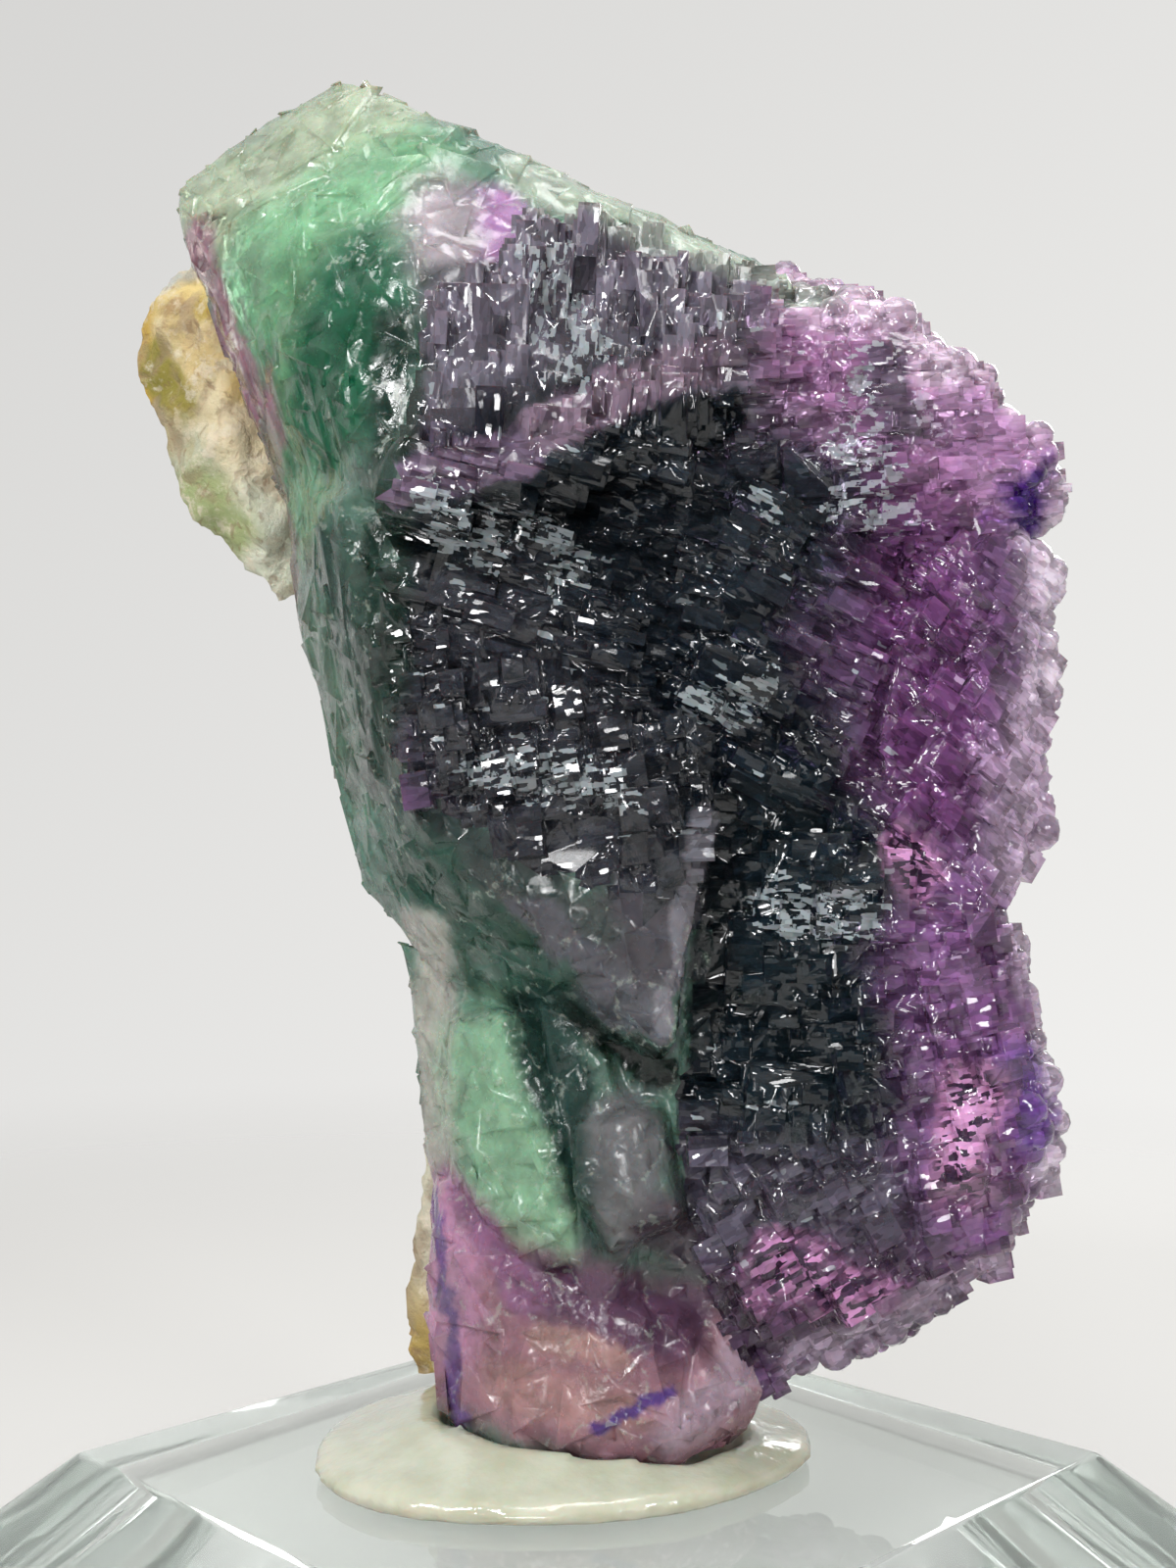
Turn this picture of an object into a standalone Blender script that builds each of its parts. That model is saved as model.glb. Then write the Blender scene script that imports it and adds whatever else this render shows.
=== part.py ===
"""A fluorite cluster on its rock matrix, held upright in a pad of putty on a bevelled glass stand.

+Z is up and +X is to the right of the crystal face, which looks along -Y. The origin is the middle of
the stand's underside. Lengths in this file are in millimetres; MM turns them into Blender's metres.
The fluorite is a plate of large crystals grown together. Each large crystal is the convex form of its
own corners, and smaller cubes, lined up with the growth domain that they belong to, step out of it.
"""

import math
import random

import bmesh
import bpy
from mathutils import Matrix, Vector
from mathutils.bvhtree import BVHTree

MM = 0.001
GAP = 0.3  # between pieces that touch
SEED = 17

# The glass stand: a square block standing on one flat face, turned so that a corner looks forward.
STAND_TOP_SIDE = 50.0
STAND_BEVEL = 7.0
STAND_HEIGHT = 20.0
STAND_FOOT_BEVEL = 1.2
STAND_TURN = 45.0

# The putty: a squashed pad that the specimen's foot is pressed into.
PUTTY_HALF_WIDTH = 16.8
PUTTY_HALF_DEPTH = 14.0
PUTTY_MIDDLE = (-2.0, -1.0)
PUTTY_SIDES = 36
# Its section, from the underside up and in: how far out, as a share of the half width, and how high.
PUTTY_SECTION = [(0.97, 0.0), (1.0, 0.6), (0.98, 1.1), (0.91, 1.5), (0.78, 2.1), (0.62, 3.3), (0.4, 4.0)]
# Its uneven outline: waves to a turn, their height as a share of the radius, and where they start.
PUTTY_WAVES = [(2, 0.035, 0.6), (3, 0.025, 2.0), (5, 0.012, 1.1)]

FOOT = STAND_HEIGHT + 1.8  # the specimen's flat underside, pressed into the putty
BACK = 8.0  # the fluorite's flat back, which the matrix grew against

# The large crystals and cleaved masses of fluorite, each given by its corners (x, y, z).
MASSES = {
    "upper_crystal": [
        (-17, -1, 115.8), (-11, -6, 110.5), (2.5, -7, 104.5), (13, -6, 100),
        (-24.4, 2, 113.2), (-29.6, 2, 109.2), (-29.8, 2, 107.4), (-24.3, 1.5, 98.5), (-22.3, 3, 88),
        (-19, -8, 103), (-12, -12, 101), (-15.5, -13, 90), (-12.5, -15, 83.5), (-5, -16, 84),
        (1, -15.5, 87.5), (10, -13, 91), (-17, BACK, 113), (-27, BACK, 106), (-22, BACK, 86),
        (10, BACK, 88), (14, BACK, 99),
    ],
    "wedge_crystal": [
        (-16, -12, 84), (-12.5, -12, 85), (-3, -11.5, 84), (7.5, -13, 65), (7, -13, 61),
        (5.5, -12.5, 49.5), (-15, -11, 75.5), (-12.5, -11.5, 68.5), (-10.5, -12, 63),
        (-3.5, -13.3, 58), (5, -10, 48.2),
        (-21.5, 2, 88), (-20.5, 2, 77), (-17.5, 2, 68), (-16, 2, 59), (-10.5, -2, 53), (0, -7, 49.3),
        (-21, BACK, 86), (-15, BACK, 60), (-6, BACK, 54), (6, BACK, 56), (6, BACK, 84),
    ],
    "dark_face": [
        (-3, -8, 87), (11, -9, 92), (18, -8, 87), (21, -7, 76), (21, -7, 66), (19, -8, 54), (18, -8, 45),
        (6, -7, 43), (0, -6, 47), (-2, -8, 70), (9, -11, 69),
        (-4, BACK, 88), (14, BACK, 92), (20, BACK, 76), (20, BACK, 50), (4, BACK, 44),
    ],
    "upper_right_dome": [
        (18, -11.5, 91), (12, -9, 96), (19, -8, 97), (25, -7.5, 92.5), (26, -7, 87), (19, -8.5, 83.5),
        (11, -9, 88), (13, -1, 101.3), (18.5, -1, 100), (23.3, -1, 97), (27.5, -1, 93.8), (30.6, -1, 90),
        (33.0, -2, 87.2), (33.1, -1, 85.4), (31.5, -1, 83.5), (20, 0, 78),
        (14, 7, 99), (20, 7, 97.5), (26.5, 6, 92), (30.5, 5, 87), (28, 6, 82), (14, BACK, 82),
    ],
    "right_lobe": [
        (22, -8.5, 82), (25.8, -7.5, 80.5), (27.8, -7, 72.5), (26.5, -7.5, 63), (24.6, -8, 58.4),
        (20.5, -8, 57.6), (19, -9, 70), (31.4, -2, 82), (31.8, -2, 76), (31.5, -2, 68),
        (30.8, -2, 61.8), (27.8, -2, 57.6), (20, 7, 84), (30, 5, 81), (31, 5, 72), (29, 5, 62),
        (26.6, 5, 57.4), (20, 7, 56),
    ],
    "lower_right_lobe": [
        (12.5, -9.5, 60), (19, -10, 58.6), (24.4, -9.2, 57.6), (27, -9.5, 46), (25, -10, 39.5),
        (19, -10.5, 34.5), (11, -10, 33), (7.5, -9, 38), (9, -9.5, 50), (27.4, -2, 58.4),
        (29.6, -2, 54.4), (30.4, -2, 47), (31.8, -2.5, 43.5), (31.2, -2, 40), (29.7, -2, 36.8),
        (26.6, -2, 33.4), (23.4, -2, 29.6), (19.6, -2, 27.6), (14.4, -2, 27.2), (8.6, -2, 27.6),
        (26.6, 5, 58), (29.5, 4, 44), (25.5, 4, 32.5), (14, 5, 28.5), (8, 6, 40),
    ],
    "rear_ridge": [
        (-8, 3, 112.2), (-1, 6, 110.5), (6.5, 7, 107.8), (14.5, 7, 104.6), (19, 6, 101.6),
        (-8, -4, 107), (2, -5, 105.4), (12, -4, 101), (18, -3, 98.5), (-8, BACK, 104),
        (12, BACK, 98), (18, BACK, 96),
    ],
    "foot_neck": [
        (-7, -4, 54), (0, -7, 52), (6, -7, 47), (12, -6, 45), (12, -6.5, 37), (10, -5.5, 29), (-3, -5, 30),
        (-13.4, 3, 55), (-12.6, 3, 49), (-11.6, 3, 41), (-10, 3, 33),
        (-12.4, BACK, 54), (-10.6, BACK, 40), (-9, BACK, 28), (9, BACK, 28), (7, BACK, 50),
    ],
    "green_body": [
        (-9.2, -5.5, 50), (-5.5, -8.5, 51), (-3, -8.8, 46), (-1.2, -8.8, 40), (-0.6, -8, 35),
        (-3.4, -7.5, 34.2), (-7, -7, 38), (-9.5, -5, 43), (-9.8, 1, 52), (-9.6, 1, 36), (1, 0, 36),
        (1, 0, 50),
    ],
    "dark_strip": [
        (-3, -7.5, 51.5), (1, -9, 49), (2.6, -9, 44), (2.8, -8.4, 35), (0.6, -8.2, 31.5), (-0.6, -7.6, 33),
        (-2, 0, 51), (4, 0, 47), (4, 0, 31), (-2, 0, 32),
    ],
    "foot_base": [
        (-10.6, -2.5, 39.5), (-11.2, -2, 31), (-10.8, -2.5, 26.8), (-9.4, -4.8, 24.2), (-5, -8.4, 24.0),
        (1, -9.8, 24.2), (7, -9.2, 24.6), (11.3, -6.2, 25.2), (12.2, -3, 26.0), (11.6, 0, 29.4),
        (8.4, -5.5, 30.8), (1.6, -8.6, 31.6), (-3.4, -7.6, 33.6), (-7.6, -5.6, 37),
        (-9.2, -3, FOOT), (-4.6, -7.6, FOOT), (1, -8.8, FOOT), (6, -8.2, FOOT), (10, -4, FOOT),
        (8.4, 5, FOOT), (-8.6, 5, FOOT), (-10.6, 6, 38), (-10.2, 6, 26.5), (10, 6, 29),
    ],
    "foot_lump": [
        (-1, -9, 44), (2.5, -11, 45), (5, -9, 44.5), (-0.8, -10.5, 40), (3, -11.5, 39), (6, -10, 38.5),
        (1.5, -9.5, 36), (0, -5, 45), (5, -5, 46), (7, -5, 37), (1, -5, 35),
    ],
}

# The matrix behind them, a broken slab of rock: blocks given by their corners.
MATRIX_BLOCKS = {
    "shoulder": [
        (-29, 9, 106.6), (-33.8, 11, 104), (-34.8, 11.5, 99.8), (-34.2, 10.5, 97), (-31.8, 10.5, 91),
        (-29.8, 11, 86.8), (-26.8, 11, 84), (-23.6, 11, 80.2), (-27.5, 5.6, 101), (-29, 6.4, 97),
        (-26.6, 6, 91), (-24.6, 7, 86), (-30, 15, 102.5), (-31, 15.5, 98), (-27.5, 16.4, 90), (-21, 15.5, 82),
        (-18, 15.4, 103), (-15, 14, 86),
    ],
    "upper_slab": [
        (-20, 7, 106), (-7, 7, 104.5), (8, 7, 99), (12.5, 7, 91), (10, 7, 76), (-3, 7, 70), (-18, 7, 74),
        (-17, 14.6, 101), (-5, 16.4, 98), (6, 14.8, 93.5), (7, 14.2, 80), (-5, 16.6, 75.5), (-15.5, 15.2, 80),
    ],
    "middle_slab": [
        (-17, 7, 76), (-14.4, 7, 61), (-9.4, 7, 50), (4, 7, 48.5), (9.5, 7, 60), (8, 7, 78),
        (-12.6, 14.2, 73), (-9.4, 15.4, 60.5), (-4, 13.8, 52), (4.4, 13.4, 57), (4, 14.6, 72),
    ],
    "lower_slab": [
        (-10.8, 7, 53), (-10, 7, 40), (-12.6, 7, 29), (-13.6, 9, 27.8), (-13.9, 9.6, 25), (-12.6, 8.6, 22.6),
        (-8, 7, FOOT), (5, 7, FOOT), (9, 7, 30), (8.6, 7, 44), (5, 7, 53),
        (-7.6, 13.2, 48), (-8.8, 13.6, 35), (-10.4, 12.8, 27), (-4, 12, FOOT), (3, 12, 24), (4, 13.2, 42),
    ],
}

# Angular lumps that stand out of the slab: their middles and half sizes.
MATRIX_LUMPS = [
    ((-29.6, 10.4, 101.4), (4.2, 3.8, 3.8)),
    ((-28.4, 10.4, 89.8), (3.4, 3.6, 4.4)),
    ((-24, 14.2, 95), (6.4, 4.6, 7.4)),
    ((-11, 15.6, 92), (7.4, 4.2, 6.4)),
    ((3, 14.4, 87), (6.0, 4.4, 7.8)),
    ((-13, 13.8, 78), (5.4, 3.6, 6.2)),
    ((-1, 15, 70), (6.2, 3.8, 6.0)),
    ((-8.6, 14.2, 55), (5.0, 3.4, 6.6)),
    ((2.4, 13, 50), (4.6, 3.2, 5.4)),
    ((-4.6, 13.2, 37), (5.0, 3.0, 6.4)),
    ((-11, 10.6, 26.4), (3.0, 2.8, 3.4)),
]
LUMP_POINTS = 18
LUMP_REACH = (0.8, 1.08)  # how far its corners lie from its middle, as a share of its half sizes

# Growth domains: the (x, z) of the middle, then how far the cubes turn in the face, lean sideways and
# lean back, in degrees, and the pitch of their lattice.
DOMAINS = {
    "upper": ((-1, 96), 4, -6, 12, 5.0),
    "middle": ((1, 79), 14, 4, -4, 4.6),
    "middle_right": ((13, 75), 26, 6, 0, 4.5),
    "wedge": ((-3, 66), -8, -8, -6, 4.3),
    "dome": ((19, 91), -4, 7, 6, 3.1),
    "right": ((27, 71), 34, 20, 2, 3.1),
    "lower_dark": ((13, 54), 1, 3, -2, 5.2),
    "lower_right": ((25, 45), -9, 16, -4, 3.2),
    "bottom": ((15, 33), -26, 4, -18, 3.4),
}
# Rays that find the faces which bear cubes come from the front, the right, above, behind and below.
RAYS = [Vector(way) for way in ((0, 1, 0), (-1, 0, 0), (0, 0, -1), (0, -1, 0), (0, 0, 1))]
RAY_REACH = 60.0
ACROSS = 0.5  # an axis of the lattice whose part along a ray is under this lies across the ray
SQUARE_ENOUGH = 0.57  # a face bears cubes for the rays that strike it at least this squarely
COVER = 0.88  # the share of the lattice that bears a cube
CUBE_SIDE = (0.66, 1.16)  # as shares of the pitch
CUBE_OUT = (0.08, 0.26)  # how far a cube steps out of the face, as a share of its side
CUBE_STRAY = 0.3  # how far a cube strays from its place, as a share of the pitch
CUBE_LEAN_SPREAD = 2.2
# Left of this line (z, x) the fluorite is cleaved or broken and bears no cubes.
CLEAVED_EDGE = [
    (22, 14), (30, 9), (38, 6.5), (47, 6), (49, 7.6), (57, 8.4), (61, -4), (66, -11), (73, -13.5),
    (90, -11), (96, -10), (100, -5), (108, -2.5), (116, 0),
]
# Nor does it above this line (x, z), along the broken ridge at the top.
RIDGE_EDGE = [(-11, 105.8), (3, 102.6), (14, 99.4)]
BACK_CUBES_FROM = 15.0  # on the back, cubes grow only to the right of this
FACES_BACK = 0.5  # a face whose normal's y is over this belongs to the back


def new_object(name, mesh, colour, roughness=0.3, see_through=0.0):
    """A named object with a material of its own."""
    material = bpy.data.materials.new(name)
    material.use_nodes = True
    shader = material.node_tree.nodes["Principled BSDF"]
    shader.inputs["Base Color"].default_value = (*colour, 1)
    shader.inputs["Roughness"].default_value = roughness
    shader.inputs["Metallic"].default_value = 0.0
    shader.inputs["Transmission Weight"].default_value = see_through
    mesh.materials.append(material)
    obj = bpy.data.objects.new(name, mesh)
    bpy.context.scene.collection.objects.link(obj)
    return obj


def helper(name, mesh):
    """An object that only takes part in a Boolean."""
    obj = bpy.data.objects.new(name, mesh)
    bpy.context.scene.collection.objects.link(obj)
    obj.hide_render = True
    obj.display_type = "WIRE"
    return obj


def hull_mesh(name, corners, grown=0.0):
    """The convex form round some corners, its faces moved outwards by grown."""
    bm = bmesh.new()
    for corner in corners:
        bm.verts.new(Vector(corner) * MM)
    made = bmesh.ops.convex_hull(bm, input=bm.verts)
    inner = [v for v in made["geom_interior"] if isinstance(v, bmesh.types.BMVert)]
    bmesh.ops.delete(bm, geom=inner, context="VERTS")
    bmesh.ops.recalc_face_normals(bm, faces=bm.faces)
    bm.normal_update()
    for v, shift in [(v, v.normal * v.calc_shell_factor() * grown * MM) for v in bm.verts]:
        v.co += shift
    mesh = bpy.data.meshes.new(name)
    bm.to_mesh(mesh)
    bm.free()
    return mesh


def lump_mesh(name, middle, half, rng):
    """An angular lump of rock."""
    corners = []
    golden = math.pi * (3 - math.sqrt(5))
    for i in range(LUMP_POINTS):
        height = 1 - 2 * (i + 0.5) / LUMP_POINTS
        across = math.sqrt(1 - height * height)
        spot = Vector((across * math.cos(golden * i), across * math.sin(golden * i), height))
        spot *= rng.uniform(*LUMP_REACH)
        corners.append([m + s * h for m, s, h in zip(middle, spot, half)])
    return hull_mesh(name, corners)


def apply_boolean(obj, operation, others):
    """Joins or cuts obj with each of the others, and keeps the result as its mesh."""
    group = bpy.data.collections.new(obj.name + "_" + operation)
    bpy.context.scene.collection.children.link(group)
    for other in others:
        group.objects.link(other)
    modifier = obj.modifiers.new(operation, "BOOLEAN")
    modifier.operation = operation
    modifier.operand_type = "COLLECTION"
    modifier.collection = group
    modifier.solver = "EXACT"
    bpy.context.view_layer.update()
    result = bpy.data.meshes.new_from_object(obj.evaluated_get(bpy.context.evaluated_depsgraph_get()))
    obj.modifiers.remove(modifier)
    materials = list(obj.data.materials)
    obj.data = result
    result.materials.clear()
    for material in materials:
        result.materials.append(material)
    bpy.data.collections.remove(group)
    for other in others:
        bpy.data.objects.remove(other)


def keep_largest_shell(mesh):
    """Drops loose crumbs and sealed bubbles, so that one closed shell is left."""
    bm = bmesh.new()
    bm.from_mesh(mesh)
    left = set(bm.verts)
    shells = []
    while left:
        shell, edge = set(), [left.pop()]
        while edge:
            v = edge.pop()
            shell.add(v)
            for e in v.link_edges:
                other = e.other_vert(v)
                if other in left:
                    left.remove(other)
                    edge.append(other)
        shells.append(shell)
    shells.sort(key=len)
    for shell in shells[:-1]:
        bmesh.ops.delete(bm, geom=list(shell), context="VERTS")
    bmesh.ops.triangulate(bm, faces=bm.faces)
    bm.to_mesh(mesh)
    bm.free()


def tree_of(meshes):
    """One search tree over the faces of several meshes."""
    points, faces = [], []
    for mesh in meshes:
        first = len(points)
        points += [v.co.copy() for v in mesh.vertices]
        faces += [[first + i for i in p.vertices] for p in mesh.polygons]
    return BVHTree.FromPolygons(points, faces)


def lattice_of(turn, side_lean, back_lean):
    return (
        Matrix.Rotation(math.radians(side_lean), 3, "Z")
        @ Matrix.Rotation(math.radians(back_lean), 3, "X")
        @ Matrix.Rotation(math.radians(turn), 3, "Y")
    )


def domain_at(x, z):
    """The growth domain whose middle is nearest to a spot on the crystal face."""
    return min(DOMAINS, key=lambda name: (DOMAINS[name][0][0] - x) ** 2 + (DOMAINS[name][0][1] - z) ** 2)


def on_line(line, value):
    """The second coordinate of a line at a value of its first, between its ends."""
    for (low, first), (high, last) in zip(line, line[1:]):
        if low <= value <= high:
            return first + (last - first) * (value - low) / (high - low)
    return None


def is_cleaved(x, z):
    """Whether a spot lies to the left of the cleaved edge or on the broken ridge."""
    edge = on_line(CLEAVED_EDGE, z)
    ridge = on_line(RIDGE_EDGE, x)
    return edge is None or x < edge or (ridge is not None and z > ridge)


def grow_cubes(masses, rng):
    """The corners of each cube. They grow where a lattice of rays in each domain meets the masses."""
    tree = tree_of(masses)
    cubes = []
    for name, ((middle_x, middle_z), turn, side_lean, back_lean, pitch) in DOMAINS.items():
        lattice = lattice_of(turn, side_lean, back_lean)
        steps = range(-int(RAY_REACH / 2 / pitch), int(RAY_REACH / 2 / pitch) + 1)
        for ray in RAYS:
            towards = lattice @ ray
            across, along = (lattice @ axis for axis in Matrix.Identity(3) if abs(axis.dot(ray)) < ACROSS)
            for i, j in [(i, j) for i in steps for j in steps]:
                stray = [rng.uniform(-CUBE_STRAY, CUBE_STRAY) for _ in range(2)]
                side = pitch * rng.uniform(*CUBE_SIDE)
                out = rng.uniform(*CUBE_OUT)
                leans = [math.radians(rng.gauss(0, CUBE_LEAN_SPREAD)) for _ in range(3)]
                bears = rng.random() < COVER
                start = Vector((middle_x, 0, middle_z)) - towards * RAY_REACH
                start += (across * (i + stray[0]) + along * (j + stray[1])) * pitch
                spot, normal, _, _ = tree.ray_cast(start * MM, towards)
                if spot is None or not bears or -normal.dot(towards) < SQUARE_ENOUGH:
                    continue
                spot /= MM
                if domain_at(spot.x, spot.z) != name or is_cleaved(spot.x, spot.z):
                    continue
                if normal.y > FACES_BACK and spot.x < BACK_CUBES_FROM:
                    continue
                cube = lattice @ Matrix.Rotation(leans[0], 3, "X") @ Matrix.Rotation(leans[1], 3, "Y")
                cube = cube @ Matrix.Rotation(leans[2], 3, "Z") * (side / 2)
                middle = spot + towards * side * (0.5 - out)
                signs = [(a, b, c) for a in (-1, 1) for b in (-1, 1) for c in (-1, 1)]
                cubes.append([middle + cube @ Vector(sign) for sign in signs])
    return cubes


def make_fluorite(cubes, masses):
    first, *rest = masses.items()
    fluorite = new_object("fluorite_crystals", first[1], (0.16, 0.08, 0.22), 0.12, 0.6)
    parts = [helper(name, mesh) for name, mesh in rest]
    parts += [helper("cube", hull_mesh("cube", corners)) for corners in cubes]
    apply_boolean(fluorite, "UNION", parts)
    keep_largest_shell(fluorite.data)
    return fluorite


def make_matrix(cubes, rng):
    """The slab and its lumps, hollowed with a gap for the fluorite that grew on it."""
    blocks = [hull_mesh(name, corners) for name, corners in MATRIX_BLOCKS.items()]
    blocks += [lump_mesh(f"lump_{i}", *lump, rng) for i, lump in enumerate(MATRIX_LUMPS)]
    matrix = new_object("rock_matrix", blocks[0], (0.78, 0.66, 0.42), 0.8)
    apply_boolean(matrix, "UNION", [helper(mesh.name, mesh) for mesh in blocks[1:]])
    nearest = min(v.co.y for v in matrix.data.vertices) / MM - GAP
    rooms = list(MASSES.values()) + [c for c in cubes if max(corner.y for corner in c) > nearest]
    apply_boolean(matrix, "DIFFERENCE", [helper("room", hull_mesh("room", c, GAP)) for c in rooms])
    keep_largest_shell(matrix.data)
    return matrix


def make_putty():
    """A pad with a domed top and a rounded rim, hollowed where the specimen stands in it."""
    bm = bmesh.new()
    rings = []
    for share, rise in PUTTY_SECTION:
        ring = []
        for i in range(PUTTY_SIDES):
            angle = 2 * math.pi * i / PUTTY_SIDES
            waves = (height * math.sin(n * angle + start) for n, height, start in PUTTY_WAVES)
            reach = share * (1 + sum(waves))
            x = PUTTY_MIDDLE[0] + PUTTY_HALF_WIDTH * reach * math.cos(angle)
            y = PUTTY_MIDDLE[1] + PUTTY_HALF_DEPTH * reach * math.sin(angle)
            ring.append(bm.verts.new(Vector((x, y, STAND_HEIGHT + GAP + rise)) * MM))
        rings.append(ring)
    for lower, upper in zip(rings, rings[1:]):
        for i in range(PUTTY_SIDES):
            j = (i + 1) % PUTTY_SIDES
            bm.faces.new((lower[i], lower[j], upper[j], upper[i]))
    bm.faces.new(reversed(rings[0]))
    bm.faces.new(rings[-1])
    mesh = bpy.data.meshes.new("mounting_putty")
    bm.to_mesh(mesh)
    bm.free()
    putty = new_object("mounting_putty", mesh, (0.86, 0.88, 0.8), 0.3)
    pressed_in = [MASSES["foot_base"], MATRIX_BLOCKS["lower_slab"]]
    rooms = [helper("room", hull_mesh("room", corners, GAP)) for corners in pressed_in]
    apply_boolean(putty, "DIFFERENCE", rooms)
    keep_largest_shell(putty.data)
    return putty


def make_stand():
    """The square block: a flat top, a wide bevel round it, upright sides and a narrow bevel underneath."""
    outer = STAND_TOP_SIDE + 2 * STAND_BEVEL
    levels = [
        (outer - 2 * STAND_FOOT_BEVEL, 0.0),
        (outer, STAND_FOOT_BEVEL),
        (outer, STAND_HEIGHT - STAND_BEVEL),
        (STAND_TOP_SIDE, STAND_HEIGHT),
    ]
    signs = [(i, j) for i in (-1, 1) for j in (-1, 1)]
    corners = [(i * side / 2, j * side / 2, level) for side, level in levels for i, j in signs]
    stand = new_object("glass_stand", hull_mesh("glass_stand", corners), (0.9, 0.97, 0.94), 0.02, 1.0)
    stand.rotation_euler.z = math.radians(STAND_TURN)
    return stand


def main():
    for obj in list(bpy.data.objects):
        bpy.data.objects.remove(obj)
    rng = random.Random(SEED)
    masses = {name: hull_mesh(name, corners) for name, corners in MASSES.items()}
    cubes = grow_cubes(list(masses.values()), rng)
    make_fluorite(cubes, masses)
    make_matrix(cubes, rng)
    make_putty()
    make_stand()
    print(len(cubes), "cubes")


main()
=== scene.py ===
# %% [markdown]
# # A fluorite cluster on its stand
# The real thing is a hand-sized plate of fluorite crystals that grew on rock, pressed into a pad of
# putty on a glass block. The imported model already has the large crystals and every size. This lesson
# adds what the eye stops at: thousands of small cubes, broken faces, zoned colour, rock, putty and glass.

# %% Load the frame
import math
from typing import NamedTuple

import bmesh
import bpy
import numpy as np
from mathutils import Matrix, Vector, noise


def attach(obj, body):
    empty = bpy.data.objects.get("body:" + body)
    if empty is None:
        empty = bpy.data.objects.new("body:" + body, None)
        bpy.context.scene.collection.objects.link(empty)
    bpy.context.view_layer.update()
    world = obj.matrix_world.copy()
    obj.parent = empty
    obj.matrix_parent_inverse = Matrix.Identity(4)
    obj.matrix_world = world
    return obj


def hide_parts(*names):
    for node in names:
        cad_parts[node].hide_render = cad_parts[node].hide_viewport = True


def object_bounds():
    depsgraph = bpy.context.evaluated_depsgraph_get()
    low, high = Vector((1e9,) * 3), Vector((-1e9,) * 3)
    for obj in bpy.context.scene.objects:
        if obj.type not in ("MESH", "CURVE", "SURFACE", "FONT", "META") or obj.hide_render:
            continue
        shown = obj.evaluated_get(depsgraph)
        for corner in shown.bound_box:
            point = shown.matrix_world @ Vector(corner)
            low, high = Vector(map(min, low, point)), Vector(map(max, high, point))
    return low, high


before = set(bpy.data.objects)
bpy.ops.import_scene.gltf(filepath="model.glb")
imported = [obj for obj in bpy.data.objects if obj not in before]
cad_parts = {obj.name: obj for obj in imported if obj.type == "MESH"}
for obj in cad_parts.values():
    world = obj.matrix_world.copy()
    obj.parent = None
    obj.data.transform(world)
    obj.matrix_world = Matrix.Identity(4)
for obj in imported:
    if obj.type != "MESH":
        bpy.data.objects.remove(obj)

cad_low, cad_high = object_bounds()
print("nodes:", sorted(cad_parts), "box:", cad_low[:], cad_high[:])

# %% [markdown]
# ## Small helpers
# Lengths below are in millimetres, because the crystals are small. MM turns them into Blender's metres.
# Every shader and every Geometry Nodes tree is built with one helper that adds a node and fills its sockets.
# Nodes could be laid out by hand in the editors, but a script shows each value and gives the same tree again.

# %% Units and colours
MM = 0.001


def srgb(code):
    """The linear colour of a hex code such as 1b2a30."""
    values = [int(code[i : i + 2], 16) / 255 for i in (0, 2, 4)]
    return (*[v / 12.92 if v <= 0.04045 else ((v + 0.055) / 1.055) ** 2.4 for v in values], 1.0)


print("mid grey is", round(srgb("808080")[0], 3), "in linear light")


# %% Node helpers
def fill(tree, socket, value):
    """Links a socket to another node's, or sets its value."""
    if isinstance(value, bpy.types.NodeSocket):
        tree.links.new(value, socket)
    else:
        socket.default_value = value


def add(tree, kind, inputs=None, **settings):
    """A new node with its settings and inputs."""
    node = tree.nodes.new(kind)
    for name, value in settings.items():
        setattr(node, name, value)
    for name, value in (inputs or {}).items():
        fill(tree, node.inputs[name], value)
    return node


def maths(tree, operation, a, b=0.0, c=0.0, clamp=False):
    return add(tree, "ShaderNodeMath", {0: a, 1: b, 2: c}, operation=operation, use_clamp=clamp).outputs[0]


def vectors(tree, operation, a, b=(0.0, 0.0, 0.0)):
    return add(tree, "ShaderNodeVectorMath", {0: a, 1: b}, operation=operation).outputs[0]


def dot(tree, a, b):
    return add(tree, "ShaderNodeVectorMath", {0: a, 1: b}, operation="DOT_PRODUCT").outputs["Value"]


def length_of(tree, vector):
    return add(tree, "ShaderNodeVectorMath", {0: vector}, operation="LENGTH").outputs["Value"]


def scaled(tree, vector, factor):
    return add(tree, "ShaderNodeVectorMath", {0: vector, "Scale": factor}, operation="SCALE").outputs[0]


def blend_colours(tree, factor, a, b, mode="MIX"):
    node = tree.nodes.new("ShaderNodeMix")
    node.data_type, node.blend_type = "RGBA", mode
    for socket, value in zip((node.inputs[0], node.inputs[6], node.inputs[7]), (factor, a, b)):
        fill(tree, socket, value)
    return node.outputs[2]


def smooth_range(tree, value, low, high, out_low=0.0, out_high=1.0):
    """The value mapped smoothly from low..high to out_low..out_high."""
    inputs = {"Value": value, "From Min": low, "From Max": high, "To Min": out_low, "To Max": out_high}
    return add(tree, "ShaderNodeMapRange", inputs, interpolation_type="SMOOTHSTEP").outputs["Result"]


def new_material(name, ior=1.5, see_through=0.0):
    """A material and its tree, its shader and its position in millimetres."""
    material = bpy.data.materials.new(name)
    material.use_nodes = True
    tree = material.node_tree
    shader = tree.nodes["Principled BSDF"]
    shader.inputs["IOR"].default_value = ior
    shader.inputs["Transmission Weight"].default_value = see_through
    place = add(tree, "ShaderNodeTexCoord").outputs["Object"]
    return material, tree, shader, scaled(tree, place, 1 / MM)


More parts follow.
